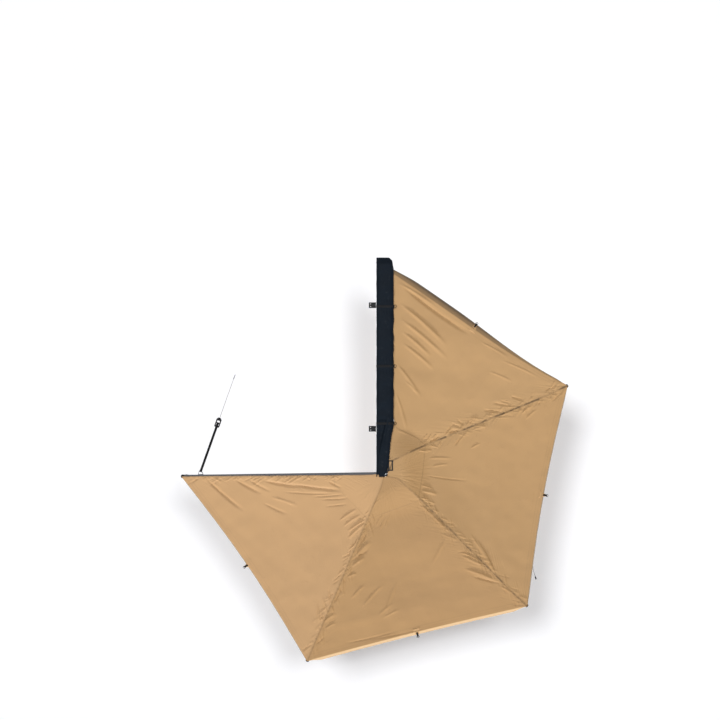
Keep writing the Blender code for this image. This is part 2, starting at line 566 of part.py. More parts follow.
CROSS_PLACES = (CHANNEL_START + 0.015, NECK_END - 0.015)
arm_frames = []
for n in range(4):
    length = ARM_LENGTHS[n]
    pivot = length - PIVOT_SETBACK
    tip_start = length - TIP_LENGTH
    turn = Matrix.Rotation(radians(90 - ARM_AZIMUTHS[n]), 4, "Z")
    arm = frame_at(f"arm_{n + 1}_frame", (HUB_X, HUB_Y, level(n)), turn)
    arm_frames.append(arm)
    leg = frame_at(f"leg_{n + 1}_frame", (pivot, 0, LEG_AXIS), parent=arm)
    cam_x, cam_z = -LEG_OUTER_LENGTH - 0.010, LEVEL_MARGIN + 0.0023 - LEG_AXIS
    cam = frame_at(f"cam_{n + 1}_frame", (cam_x, 0, cam_z), parent=leg)

    w, t, low, top, c = CHANNEL_WIDTH / 2, CHANNEL_WALL, LEVEL_MARGIN, CHANNEL_TOP, 0.0015
    profile = [(-w, low), (-w + t, low), (-w + t, top - t), (w - t, top - t), (w - t, low), (w, low), (w, top - c), (w - c, top), (-w + c, top), (-w, top - c)]
    cheek_rivet = tip_start - TIP_CHEEK_LENGTH / 2
    holes = [("DIFFERENCE", hole(CROSS_BOLT + SEAT, x, top / 2)) for x in CROSS_PLACES]
    holes.append(("DIFFERENCE", hole(CROSS_BOLT + SEAT, cheek_rivet, top / 2)))
    piece(f"arm_{n + 1}_channel", *ALUMINIUM, formed(prism(profile, CHANNEL_START, tip_start - SEAT, "X"), *holes), parent=arm)

    neck_half = INNER_HALF - SEAT
    neck = prism([(0, -neck_half), (NECK_END, -neck_half), (NECK_END, neck_half), (0, neck_half)], 0.003, top - t - SEAT)
    eye = prism(circle(EYE_RADIUS, 24), 0, EYE_HEIGHT)
    face = prism(circle(EYE_RADIUS - 0.002, 24), EYE_HEIGHT - 0.001, EYE_HEIGHT + THRUST_FACE)
    bore = prism(circle(PIN_RADIUS + SEAT, 24), -0.01, EYE_HEIGHT + 0.01)
    rib = neck_half - 0.004
    hollow = block((CHANNEL_START + 0.005, -rib, -0.01), (NECK_END + 0.01, rib, 0.009))
    bolts = [along_y(headed(CROSS_BOLT, w + SEAT, 0.0045, 0.0018), 8, x, top / 2) for x in CROSS_PLACES]
    knuckle = [("UNION", neck), ("UNION", face), ("DIFFERENCE", bore), ("DIFFERENCE", hollow)]
    piece(f"arm_{n + 1}_knuckle", *BLACK_STEEL, formed(eye, *knuckle, *[("UNION", b) for b in bolts]), parent=arm)

    half, cut = TIP_HALF, 0.008
    nose = [(tip_start, -half), (length - cut, -half), (length, -half + cut), (length, half - cut), (length - cut, half), (tip_start, half)]
    cheek = block((tip_start - TIP_CHEEK_LENGTH, -half, low + 0.003), (tip_start + 0.004, half, top - 0.003))
    between = block((tip_start - TIP_CHEEK_LENGTH - 0.01, -w - SEAT, -0.01), (tip_start, w + SEAT, EYE_HEIGHT + 0.01))
    pocket = block((tip_start - 0.01, -INNER_HALF, low - 0.01), (length - 0.003, INNER_HALF, top - t))
    rivet = along_y(headed(CROSS_BOLT, half - 0.0005, 0.0045, 0.0023), 8, cheek_rivet, top / 2)
    gap = block((cheek_rivet - 0.01, -INNER_HALF - SEAT, -0.01), (cheek_rivet + 0.01, INNER_HALF + SEAT, EYE_HEIGHT + 0.01))
    pin = along_y(headed(PIVOT_PIN, half - 0.0005, 0.0052, 0.0023), 10, pivot, LEG_AXIS)
    tip = formed(
        prism(nose, low, top), ("UNION", cheek), ("DIFFERENCE", between), ("DIFFERENCE", pocket),
        ("UNION", formed(rivet, ("DIFFERENCE", gap))), ("UNION", pin),
    )  # fmt: skip
    piece(f"arm_{n + 1}_tip", *BLACK_PLASTIC, tip, parent=arm)

    lug_half, lug_high = LUG_THICKNESS / 2, LEG_RADIUS - 0.0015
    lug = [(-lug_high, -LUG_END - 0.006)]
    lug += [(-lug_high * cos(a), lug_high * sin(a)) for a in (radians(d) for d in range(0, 181, 30))]
    lug += [(lug_high, -LUG_END - 0.006)]
    rod = leg_turned([(0, LUG_END), (LEG_RADIUS, LUG_END), (LEG_RADIUS, LEG_OUTER_LENGTH), (0, LEG_OUTER_LENGTH)])
    side = LEG_RADIUS + COLLAR_SIDE
    body_low = -LEG_RADIUS - 0.0008
    collar = block((-LEG_END, -side, body_low), (-LEG_END + COLLAR_LENGTH, side, COLLAR_HALF))
    ear_out, ear_in = side - 0.0004, CAM_WIDTH / 2 + SEAT
    steps = [("UNION", facing_out(prism(lug, -lug_half, lug_half, "Y"))), ("UNION", collar)]
    for y0, y1 in ((-ear_out, -ear_in), (ear_in, ear_out)):
        ear = block((cam_x - 0.006, y0, cam_z - 0.0025), (cam_x + 0.006, y1, body_low + 0.001))
        steps.append(("UNION", ear))
    bore = [(0, PLUG_END), (LEG_BORE, PLUG_END), (LEG_BORE, LEG_END + 0.01), (0, LEG_END + 0.01)]
    steps.append(("DIFFERENCE", leg_turned(bore)))
    steps.append(("DIFFERENCE", hole(PIVOT_PIN + SEAT, 0, 0, 10)))
    steps.append(("DIFFERENCE", hole(CAM_AXLE + SEAT, cam_x, cam_z, 8)))
    piece(f"leg_{n + 1}_outer", *ALUMINIUM, formed(rod, *steps), parent=leg)

    slide = LEG_BORE - SEAT
    foot_start = LEG_END + 3 * SEAT
    tube_start, tube_end = PLUG_END + 0.016, foot_start + FOOT_LENGTH - 0.006
    tube = [(slide - LEG_WALL, tube_start), (slide, tube_start), (slide, tube_end), (slide - LEG_WALL, tube_end)]
    points, faces = turned([(r, -u) for r, u in reversed(tube)], 16, "X", ring=True)
    piece(f"leg_{n + 1}_inner", *ALUMINIUM, (points, faces), parent=leg)
    foot_end = foot_start + FOOT_LENGTH
    cup = [(0, tube_end + SEAT), (slide + SEAT, tube_end + SEAT), (slide + SEAT, foot_start), (FOOT_RADIUS, foot_start)]
    cup += [(FOOT_RADIUS, foot_end - 0.003), (FOOT_RADIUS - 0.002, foot_end), (0, foot_end)]
    piece(f"leg_{n + 1}_foot", *RUBBER, leg_turned(cup), parent=leg)

    eye_r = CAM_AXLE + 0.0008
    lever = [(eye_r, 0.0), (eye_r - 0.0008, CAM_LENGTH - 0.002), (eye_r - 0.002, CAM_LENGTH)]
    lever += [(-eye_r + 0.0008, CAM_LENGTH), (-eye_r, 0.0)]
    lever += [(-eye_r * cos(a), -eye_r * sin(a)) for a in (radians(d) for d in range(30, 180, 30))]
    reach = ear_out - SEAT
    axle = along_y([(0, -reach), (CAM_AXLE, -reach), (CAM_AXLE, reach), (0, reach)], 8, 0, 0)
    handle = facing_out(prism(lever, -CAM_WIDTH / 2, CAM_WIDTH / 2, "Y"))
    piece(f"leg_{n + 1}_cam", *BLACK_PLASTIC, formed(handle, ("UNION", axle)), parent=cam)

# Canopy

ARM_FLAT = CHANNEL_WIDTH / 2 + CANOPY_FLAT
HUB_ROWS = (0.100, 0.172, PLATEAU_RADIUS, 0.280, 0.380, 0.500, SLOPE_RADIUS)
OUTER_ROWS = 6
HUB = Vector((HUB_X, HUB_Y))


def eased(x):
    x = min(1.0, max(0.0, x))
    return x * x * (3 - 2 * x)


# How far each seam runs ahead of its arm, most between the hub and the middle of the arm
SEAM_AHEAD = (0.088, 0.058, 0.014, 0.010)


def seam_ahead(n, radius):
    """How far the seam over an arm lies ahead of the arm's middle."""
    return SEAM_AHEAD[n] * eased((radius - 0.030) / 0.120) * min(1.0, max(0.0, (1.87 - radius) / 1.5))


def seam(n, share):
    """A point of the canopy's underside at a seam, from the hub's hole (share 0) to the corner (1)."""
    radius = CANOPY_HOLE + share * (ARM_LENGTHS[n] - TIP_SHOWN - CANOPY_HOLE)
    azimuth = radians(ARM_AZIMUTHS[n])
    arm_top = level(n) + CHANNEL_TOP + SEAT
    drop = eased((radius - PLATEAU_RADIUS) / (SLOPE_RADIUS - PLATEAU_RADIUS))
    ahead = seam_ahead(n, radius)
    x = HUB_X + radius * sin(azimuth) - ahead * cos(azimuth)
    y = HUB_Y + radius * cos(azimuth) + ahead * sin(azimuth)
    return Vector((x, y, PLATEAU + (arm_top - PLATEAU) * drop))


CLAMP_FRONT = RAIL_END - FRONT_SETBACK
EDGE_X = CLAMP_X + CLAMP_DEPTH - CLAMP_GRIP + SEAT
CLAMP_REAR = HUB_Y + sqrt(PLATEAU_RADIUS**2 - (EDGE_X - HUB_X) ** 2)
EDGE_REACH = sqrt((EDGE_X - HUB_X) ** 2 + (CLAMP_FRONT - HUB_Y) ** 2)
RAMP_START = WEB_FRONT + 0.010
HELD_REACH = sqrt((EDGE_X - HUB_X) ** 2 + (CLAMP_REAR - HUB_Y) ** 2)


def clamped(share):
    """A point of the canopy's underside along its inner edge, from the hub's hole to the rail's front end."""
    full = ARM_LENGTH - TIP_SHOWN
    reach = CANOPY_HOLE + share * (full - CANOPY_HOLE)
    reach += (EDGE_REACH - full) * eased((reach - PLATEAU_RADIUS) / (full - PLATEAU_RADIUS))
    start = Vector((HUB_X - CANOPY_HOLE * sin(radians(20)), HUB_Y + CANOPY_HOLE * cos(radians(20))))
    if reach < HELD_REACH:
        part = (reach - CANOPY_HOLE) / (HELD_REACH - CANOPY_HOLE)
        flat = start.lerp(Vector((EDGE_X, CLAMP_REAR)), part)
    else:
        flat = Vector((EDGE_X, HUB_Y + sqrt(reach**2 - (EDGE_X - HUB_X) ** 2)))
    held = CLAMP_MID - CANOPY_THICKNESS / 2
    height = PLATEAU + (held - PLATEAU) * eased((flat.y - RAMP_START) / (CLAMP_REAR - RAMP_START))
    return Vector((flat.x, flat.y, height))


# How far the middle of each outer edge draws in, where along it, and how its hem stands out and hangs
DRAWN_IN = (0.038, 0.042, 0.012, 0.047)
DRAWN_POWER = (1.87, 1.0, 1.0, 1.0)
HEM_OUT = (0.066, 0.016, 0.036, 0.014)


def hem_share(n, s):
    """Share of the hem's full width at s between the flat strips of an outer edge."""
    ends = eased(s / 0.06) * eased((1 - s) / 0.06)
    if n == 0:
        return ends * (0.45 + 0.55 * eased(s / 0.2)) * (1 - 0.85 * eased((s - 0.40) / 0.55))
    return ends


COLUMNS = 14


def folds(n, s, reach):
    """Height of a panel's main folds."""
    far = eased((reach - 0.45) / 0.5) * eased((2.12 - reach) / 0.10)
    if n == 0:
        return 0.011 * far * sin(pi * s) * sin(2 * pi * (reach * 1.55 - 1.1 * s)) * (1 - 0.6 * s)
    if n == 3:
        return 0.010 * far * sin(pi * s) * sin(2 * pi * (reach * 1.3 + 1.2 * s)) * (0.3 + 0.7 * s)
    return 0.006 * far * sin(pi * s) * sin(2 * pi * (reach * 1.1 + (n - 1.5) * s))


def strip(along, n, wide):
    """Share of a row that lies flat on an arm, up to a distance from the seam."""
    azimuth = radians(ARM_AZIMUTHS[n])
    across = abs(along.x * cos(azimuth) - along.y * sin(azimuth))
    return min(wide / across, 0.3)


def clamp_strip(along):
    """Share of a row that lies in the clamp bar."""
    return min((CLAMP_GRIP + 0.002) / abs(along.x), 0.2)


def panel_grids(n):
    """(underside, top) points of the panel between an arm (or the rail) and the next arm."""
    from_edge = clamped if n == 0 else (lambda share: seam(n - 1, share))
    reach_all = ARM_LENGTH - TIP_SHOWN - CANOPY_HOLE
    first = (SLOPE_RADIUS - CANOPY_HOLE) / reach_all
    shares = [0.0] + [(r - CANOPY_HOLE) / reach_all for r in HUB_ROWS]
    shares += [first + (1 - first) * (i + 1) / OUTER_ROWS for i in range(OUTER_ROWS)]
    base, top = [], []
    lift = Vector((0, 0, CANOPY_THICKNESS))
    for share in shares:
        a, b = from_edge(share), seam(n, share)
        along = b - a
        first_flat = clamp_strip(along)
        if n:
            first_flat = strip(along, n - 1, ARM_FLAT + seam_ahead(n - 1, CANOPY_HOLE + share * reach_all))
        last_flat = strip(along, n, max(ARM_FLAT - seam_ahead(n, CANOPY_HOLE + share * reach_all), 0.008))
        flats = [first_flat, last_flat]
        row = []
        outward = Vector((-along.y, along.x, 0)).normalized()
        if outward.dot(Vector((a.x + b.x - 2 * HUB_X, a.y + b.y - 2 * HUB_Y, 0))) < 0:
            outward = -outward
        reach = share * reach_all
        for j in range(COLUMNS + 1):
            inner = min(1.0, max(0.0, (j - 1) / (COLUMNS - 2)))
            s = 0.0 if j == 0 else 1.0 if j == COLUMNS else flats[0] + (1 - flats[0] - flats[1]) * inner
            z = a.z + (b.z - a.z) * inner
            z -= CANOPY_SAG * sin(pi * inner) * eased((reach - PLATEAU_RADIUS) / 1.2)
            z += folds(n, inner, reach)
            drawn = DRAWN_IN[n] * sin(pi * s ** DRAWN_POWER[n]) * share**2
            row.append(Vector((a.x + along.x * s, a.y + along.y * s, z)) - outward * drawn)
        base.append(row)
        top.append([p + lift for p in row])
    a, b = base[-1][0], base[-1][-1]
    outward = Vector((-(b - a).y, (b - a).x, 0)).normalized()
    if outward.dot(Vector((a.x + b.x - 2 * HUB_X, a.y + b.y - 2 * HUB_Y, 0))) < 0:
        outward = -outward
    low_row, high_row = [], []
    for j, ridge in enumerate(base[-1]):
        share = hem_share(n, min(1.0, max(0.0, (j - 1) / (COLUMNS - 2))))
        out = 0.007 + (HEM_OUT[n] - 0.007) * share
        down = VALANCE_DROP * share
        slope = atan2(down, out)
        foot = ridge + outward * out - Vector((0, 0, down))
        low_row.append(foot)
        high_row.append(foot + (outward * sin(slope) + Vector((0, 0, cos(slope)))) * CANOPY_THICKNESS)
    base.append(low_row)
    top.append(high_row)
    return base, top, outward


def apart(grid, n):
    """Leaves the clearance between this panel and its neighbours along their seams."""
    for row in grid:
        for j, sign in ((0, 1), (COLUMNS, -1)):
            if n == 0 and j == 0:
                continue
            way = row[j + sign] - row[j]
            way.z = 0
            row[j] = row[j] + way.normalized() * SEAT / 2
    return grid


def edge_tab(base, top, outward):
    """The webbing tab sewn across the middle of an outer edge."""
    middle = COLUMNS // 2
    ridge, inside = top[-2][middle], top[-3][middle]
    inward = (inside - ridge).normalized()
    side = Vector((-outward.y, outward.x, 0)).normalized() * TAB_WIDTH / 2
    up = side.cross(inward).normalized()
    up = up if up.z > 0 else -up
    low = ridge
    corners = []
    for height in (-CANOPY_THICKNESS / 2, STRAP_THICKNESS):
        for along, sign in ((0.6, -1), (0.6, 1), (-0.4, 1), (-0.4, -1)):
            corners.append(low + inward * TAB_LENGTH * along + side * sign + up * height)
    volume = (corners[1] - corners[0]).cross(corners[3] - corners[0]).dot(up)
    faces = [(3, 2, 1, 0), (4, 5, 6, 7), (0, 1, 5, 4), (1, 2, 6, 5), (2, 3, 7, 6), (3, 0, 4, 7)]
    return [tuple(c) for c in corners], faces if volume > 0 else [f[::-1] for f in faces]


PANELS = []
for n in range(4):
    base, top, outward = panel_grids(n)
    tab = edge_tab(base, top, outward)
    base, top = apart(base, n), apart(top, n)
    PANELS.append((base, top))
    points, faces = formed(facing_out(sheet(base, top)), ("UNION", tab))
    held = frame_at(f"panel_{n + 1}_frame", (HUB_X, HUB_Y, 0))
    points = [(x - HUB_X, y - HUB_Y, z) for x, y, z in points]
    piece(f"canopy_panel_{n + 1}", *TAN, (points, faces), parent=held, smooth=60)

grip = CLAMP_DEPTH - CLAMP_GRIP
mouth = CANOPY_THICKNESS / 2 + SEAT
clamp = [
    (CLAMP_MID - CLAMP_HEIGHT / 2, CLAMP_X), (CLAMP_MID + CLAMP_HEIGHT / 2, CLAMP_X),
    (CLAMP_MID + CLAMP_HEIGHT / 2, CLAMP_X + CLAMP_DEPTH), (CLAMP_MID + mouth, CLAMP_X + CLAMP_DEPTH),
    (CLAMP_MID + mouth, CLAMP_X + grip), (CLAMP_MID - mouth, CLAMP_X + grip),
    (CLAMP_MID - mouth, CLAMP_X + CLAMP_DEPTH), (CLAMP_MID - CLAMP_HEIGHT / 2, CLAMP_X + CLAMP_DEPTH),
]  # fmt: skip
piece("canopy_clamp_bar", *ALUMINIUM, facing_out(prism(clamp, CLAMP_REAR + 0.002, CLAMP_FRONT + 0.004, "Y")))

# Cover

COVER_FRONT = RAIL_END + COVER_OVERHANG
COVER_REAR = HUB_Y - 0.031
FRONT_ROW = RAIL_END - 0.012


def cover_edge(y):
    """How far the cover reaches outwards at y."""
    places = [
        (COVER_REAR, HUB_X - 0.010), (HUB_Y + 0.045, HUB_X + 0.028), (HUB_Y + 0.182, HUB_X + 0.044),
        (HUB_Y + 0.381, COVER_WIDTH - 0.025), (STRAP_PLACES[-1] - STRAP_CLEAR, COVER_WIDTH), (RAIL_END - 0.060, COVER_WIDTH),
        (RAIL_END + 0.025, COVER_WIDTH - 0.017), (COVER_FRONT, COVER_WIDTH - 0.045),
    ]  # fmt: skip
    return float(np.interp(y, [p[0] for p in places], [p[1] for p in places]))


def cover_lip(y):
    """Height of the lower edge of the cover's outer side."""
    rise = eased((STRAP_PLACES[-1] - STRAP_CLEAR - y) / 0.20)
    tail = eased((HUB_Y + 0.20 - y) / 0.12)
    return COVER_LIP + (LOOP_LOW + LOOP_THICKNESS + 0.006 - COVER_LIP) * rise + (PIN_END + 0.004 - LOOP_LOW - LOOP_THICKNESS - 0.006) * tail


def puff(y):
    """Swell of the cover between its straps, nothing at a strap."""
    near = min(abs(y - place) for place in STRAP_PLACES)
    return 0.006 * eased((near - STRAP_CLEAR - 0.005) / 0.14)


def cover_line(y):
    """The cover's section at y, from its groove over the top to its lip, as (x, z)."""
    crown = CROWN + puff(y)
    edge, lip = cover_edge(y), cover_lip(y)
    in_groove = abs(y) <= FRONT_ROW + 1e-6
    low = RAIL_TOP - GROOVE_DEPTH + 0.002 if in_groove else RAIL_TOP + 0.003
    if y > RAIL_END:
        crown = CROWN - 0.020 * eased((y - RAIL_END) / COVER_OVERHANG)
    top = crown - RAIL_TOP
    inner = GROOVE_X + 0.030
    span = edge - inner
    return [
        (GROOVE_X, low), (GROOVE_X, RAIL_TOP + 0.005), (GROOVE_X - 0.003, RAIL_TOP + 0.35 * top),
        (GROOVE_X + 0.007, RAIL_TOP + 0.78 * top), (inner, crown - 0.002), (inner + 0.30 * span, crown),
        (inner + 0.58 * span, crown - 0.002), (inner + 0.80 * span, crown - 0.10 * (crown - lip) - 0.001),
        (inner + 0.94 * span, crown - 0.35 * (crown - lip)), (edge, crown - 0.68 * (crown - lip)), (edge, lip),
    ]  # fmt: skip


def offset_line(line, distance):
    """The line moved to its left by a distance, for (x, z) going from the back over the top."""
    out = []
    for i, p in enumerate(line):
        p = Vector(p)
        before = (p - Vector(line[i - 1])).normalized() if i else (Vector(line[1]) - p).normalized()
        after = (Vector(line[i + 1]) - p).normalized() if i + 1 < len(line) else before
        normal = Vector((-before.y - after.y, before.x + after.x)).normalized()
        out.append(p + normal * distance / max(0.5, normal.dot(Vector((-before.y, before.x)))))
    return [(p.x, p.y) for p in out]


cover_rows = [COVER_REAR, HUB_Y - 0.010, HUB_Y + 0.020]
cover_rows += [-FRONT_ROW - 0.006, -FRONT_ROW, HUB_Y + 0.110, HUB_Y + 0.182, HUB_Y + 0.280, HUB_Y + 0.381, HUB_Y + 0.450]
for place in STRAP_PLACES:
    cover_rows += [place - STRAP_CLEAR, place + STRAP_CLEAR]
for a, b in zip(STRAP_PLACES[1:], STRAP_PLACES[:-1]):
    cover_rows += [a + (b - a) * k for k in (0.2, 0.35, 0.5, 0.65, 0.8)]
cover_rows += [STRAP_PLACES[0] + 0.12, STRAP_PLACES[0] + 0.24, RAIL_END - 0.120, RAIL_END - 0.060, FRONT_ROW, FRONT_ROW + 0.006]
cover_rows += [RAIL_END + 0.025, COVER_FRONT]
cover_rows = sorted(cover_rows)
outside, inside = [], []
for y in cover_rows:
    line = cover_line(y)
    outside.append([Vector((x, y, z)) for x, z in offset_line(line, COVER_THICKNESS / 2)])
    inside.append([Vector((x, y, z)) for x, z in offset_line(line, -COVER_THICKNESS / 2)])
piece("cover_upper", *NAVY, facing_out(sheet(inside, outside)), smooth=60)

flap_base, flap_top = [], []
flap_rows = [-FRONT_ROW + 2 * FRONT_ROW * i / 18 for i in range(19)]
for i, y in enumerate(flap_rows):
    swing = 0.006 * sin(3.1 * i)
    bottom = -RAIL_TOP
    line = [
        (GROOVE_X, bottom + GROOVE_DEPTH - 0.002), (GROOVE_X, bottom - 0.006), (GROOVE_X + 0.004, bottom - 0.3 * COVER_DROP),
        (GROOVE_X + 0.012 + swing, bottom - 0.65 * COVER_DROP), (GROOVE_X + 0.020 + 2 * swing, bottom - COVER_DROP),
    ]  # fmt: skip
    flap_base.append([Vector((x, y, z)) for x, z in offset_line(line, COVER_THICKNESS / 2)])
    flap_top.append([Vector((x, y, z)) for x, z in offset_line(line, -COVER_THICKNESS / 2)])
piece("cover_lower", *NAVY, facing_out(sheet(flap_base, flap_top)), smooth=60)

# The zip's slider hangs under the cover's lip and runs along it.
slider_y = HUB_Y + 0.560
sx, sy, sz = SLIDER_SIZE
slider_top = COVER_LIP - SEAT
slider = prism(
    [(slider_y - sy / 2, COVER_WIDTH - sx / 2 + 0.002), (slider_y - sy / 2, COVER_WIDTH + sx / 2 - 0.002), (slider_y - sy / 6, COVER_WIDTH + sx / 2),
     (slider_y + sy / 2, COVER_WIDTH + sx / 2 - 0.003), (slider_y + sy / 2, COVER_WIDTH - sx / 2 + 0.003), (slider_y - sy / 6, COVER_WIDTH - sx / 2)],
    slider_top - sz, slider_top,
)  # fmt: skip
slider = ([(b, a, c) for a, b, c in slider[0]], slider[1])
slider_frame = frame_at("zip_frame", (COVER_WIDTH, slider_y, slider_top))
middle = Vector((COVER_WIDTH, slider_y, slider_top))
slider = ([tuple(Vector(p) - middle) for p in slider[0]], slider[1])
piece("zip_slider", *STEEL, facing_out(slider), parent=slider_frame)

for name, place in zip(("front", "middle", "rear"), STRAP_PLACES):
    line = offset_line(cover_line(place), COVER_THICKNESS / 2 + SEAT + STRAP_THICKNESS / 2)[1:]
    line[-1] = (line[-1][0], line[-1][1] + 0.004)
    strap = band(line, STRAP_THICKNESS, place - STRAP_WIDTH / 2, place + STRAP_WIDTH / 2)
    piece("stow_strap_" + name, *WEBBING, facing_out(strap), smooth=50)
    bar_x = line[-1][0] + STRAP_THICKNESS / 2 + SEAT + RING_RADIUS
    bar_z = line[-1][1] + RING_RADIUS
    deep, wide = RING_SIZE
    path = [(bar_x, place - wide / 2, bar_z), (bar_x, place, bar_z), (bar_x, place + wide / 2, bar_z), (bar_x + deep * 0.45, place + wide / 2, bar_z)]
    path += [(bar_x + deep * (0.45 + 0.55 * sin(a)), place + wide / 2 * cos(a), bar_z) for a in (radians(d) for d in (35, 65, 90, 115, 145))]
    path += [(bar_x + deep * 0.45, place - wide / 2, bar_z)]
    piece("stow_ring_" + name, *STEEL, facing_out(wire(path, RING_RADIUS, 6, closed=True)), smooth=60)

# Tie-down of the left arm

left = arm_frames[3]
anchor_z = CHANNEL_TOP / 2
ANCHOR_AT = ARM_LENGTH - ANCHOR_FROM_TIP
start = left.matrix_local @ Vector((ANCHOR_AT, -ANCHOR_OUT, anchor_z))
heading, fall = radians(TIE_HEADING), radians(TIE_FALL)
arm_heading = radians(90 - ARM_AZIMUTHS[3])
BAR = 0.003
wall = CHANNEL_WIDTH / 2 + SEAT
bar_dir = Vector((cos(heading - arm_heading + pi / 2), sin(heading - arm_heading + pi / 2)))
bar_dir = bar_dir if bar_dir.x > 0 else -bar_dir
out_dir = Vector((-bar_dir.y, bar_dir.x))
out_dir = out_dir if out_dir.y < 0 else -out_dir
bar_at = Vector((ANCHOR_AT, -ANCHOR_OUT))
span = STRAP_WIDTH / 2 + 0.003
edge = 0.005
ring_outer = [
    Vector((ANCHOR_AT - 0.028, -wall)), bar_at - bar_dir * (span + edge) + out_dir * BAR,
    bar_at + bar_dir * (span + edge) + out_dir * BAR, Vector((ANCHOR_AT + 0.028, -wall)),
]  # fmt: skip
ring_inner = [
    Vector((ANCHOR_AT - 0.020, -wall - 0.006)), bar_at - bar_dir * span - out_dir * BAR,
    bar_at + bar_dir * span - out_dir * BAR, Vector((ANCHOR_AT + 0.020, -wall - 0.006)),
]  # fmt: skip
plate = facing_out(framed([tuple(p) for p in ring_outer], [tuple(p) for p in ring_inner], anchor_z - BAR, anchor_z + BAR))
pad = block((ANCHOR_AT - 0.028, -wall - 0.004, LEVEL_MARGIN + 0.002), (ANCHOR_AT + 0.028, -wall + 0.0, CHANNEL_TOP - 0.002))
pad = ([(x, y - 0.0001, z) for x, y, z in pad[0]], pad[1])
piece("strap_anchor", *BLACK_STEEL, formed(plate, ("UNION", pad)), parent=left)

tie = frame_at("tie_frame", start, Matrix.Rotation(heading, 4, "Z") @ Matrix.Rotation(fall, 4, "Y"))
loop_r = BAR * 1.42 + SEAT + STRAP_THICKNESS / 2
path = [(0.060, -loop_r + STRAP_THICKNESS + SEAT), (0.024, -loop_r + STRAP_THICKNESS + SEAT), (0.010, loop_r * 0.55)]
path += [(loop_r * cos(a), loop_r * sin(a)) for a in (radians(d) for d in (60, 90, 120, 150, 180, 210, 240, 270))]
path += [(0.030, -loop_r), (WEBBING_LENGTH, -loop_r)]
webbing = facing_out(band(path, STRAP_THICKNESS, -STRAP_WIDTH / 2, STRAP_WIDTH / 2))
piece("tie_strap", *WEBBING, webbing, parent=tie, smooth=60)
buckle_from = WEBBING_LENGTH + SEAT
buckle_to = buckle_from + BUCKLE_LENGTH
half = BUCKLE_WIDTH / 2
low, high = -loop_r - 0.007, -loop_r + 0.007
frame_out = [(buckle_from, -half + 0.008), (buckle_from + 0.008, -half), (buckle_to - 0.020, -half), (buckle_to, -half * 0.45), (buckle_to, half * 0.45), (buckle_to - 0.020, half), (buckle_from + 0.008, half), (buckle_from, half - 0.008)]
frame_in = [(buckle_from + 0.014, -half + 0.016), (buckle_from + 0.018, -half + 0.012), (buckle_to - 0.036, -half + 0.012), (buckle_to - 0.030, -half + 0.016), (buckle_to - 0.030, half - 0.016), (buckle_to - 0.036, half - 0.012), (buckle_from + 0.018, half - 0.012), (buckle_from + 0.014, half - 0.016)]
cross = block((buckle_from + 0.042, -half + 0.006, low + 0.003), (buckle_from + 0.050, half - 0.006, high - 0.003))
piece("strap_buckle", *BLACK_PLASTIC, formed(framed(frame_out, frame_in, low, high), ("UNION", cross)), parent=tie)


def cord(name, colour, route, diameter, parent=None):
    """A round cord along a route of points."""
    curve = bpy.data.curves.new(name, "CURVE")
    curve.dimensions = "3D"
    curve.bevel_depth = diameter / 2
    curve.bevel_resolution = 2
    curve.use_fill_caps = True
    line = curve.splines.new("POLY")
    line.points.add(len(route) - 1)
    for point, place in zip(line.points, route):
        point.co = (*place, 1.0)
    item = bpy.data.objects.new(name, curve)
    bpy.context.scene.collection.objects.link(item)
    item.parent = parent
    curve.materials.append(look("look_" + name, *colour))
    return item


tie_end = TIE_LENGTH - 0.040
cord_from = buckle_to + SEAT
cord_line = [(cord_from + (tie_end - cord_from) * i / 15, 0, -loop_r - 0.002 * sin(pi * i / 15)) for i in range(16)]
cord("strap_cord", GREY_CORD, cord_line, TIE_CORD, parent=tie)
ferrule_to = tie_end + SEAT + 0.016
ferrule = turned([(0, tie_end + SEAT), (0.0055, tie_end + SEAT), (0.0055, ferrule_to), (0, ferrule_to)], 12, "X", (0, 0, -loop_r))
bend = HOOK_BEND + HOOK_WIRE
hook_path = [(ferrule_to - 0.006, 0, -loop_r), (ferrule_to + 0.016, 0, -loop_r)]
hook_path += [(ferrule_to + 0.016 + bend * sin(a), 0, -loop_r - bend + bend * cos(a)) for a in (radians(d) for d in range(25, 201, 25))]
hook = formed(ferrule, ("UNION", facing_out(wire(hook_path, HOOK_WIRE, 8))))
piece("strap_hook", *STEEL, hook, parent=tie, smooth=60)

# Guy line at the rear right edge

edge_row, inner_row = PANELS[1][0][-1], PANELS[1][0][-2]
place = 11
hang = edge_row[place].copy()
hang.z -= SEAT
guy_frame = frame_at("guy_frame", hang)
away = Vector((0.30, -0.95, 0)).normalized()
guy_route = []
for i in range(17):
    t = i / 16
    guy_route.append(away * (0.118 * t**1.4) - Vector((0, 0, 0.150 * sin(t * pi / 2) ** 1.1)))
cord("guy_line", WEBBING, guy_route, GUY_CORD, parent=guy_frame)
last, before = guy_route[-1], guy_route[-2]
way = (last - before).normalized()
tensioner = turned([(0, SEAT), (0.004, SEAT), (0.0075, 0.006), (0.0075, 0.026), (0.0045, 0.032), (0, 0.032)], 12, "Z")
aim = way.to_track_quat("Z", "Y").to_matrix().to_4x4()
piece("guy_tensioner", *BLACK_PLASTIC, ([tuple(last + (aim @ Vector(p))) for p in tensioner[0]], tensioner[1]), parent=guy_frame)

print("tie frame", [round(v, 5) for v in start], "heading", round(degrees(heading), 3), "fall", round(degrees(fall), 3))
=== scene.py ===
"""Side awning: its cloth, lines, finishes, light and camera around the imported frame.

Metres, +Z up, +X outwards from the rail, +Y along it to the front. The arms turn on one pivot at the rear.
"""

import json
from math import cos, hypot, pi, radians, sin

import bpy
import numpy as np
from mathutils import Matrix, Vector


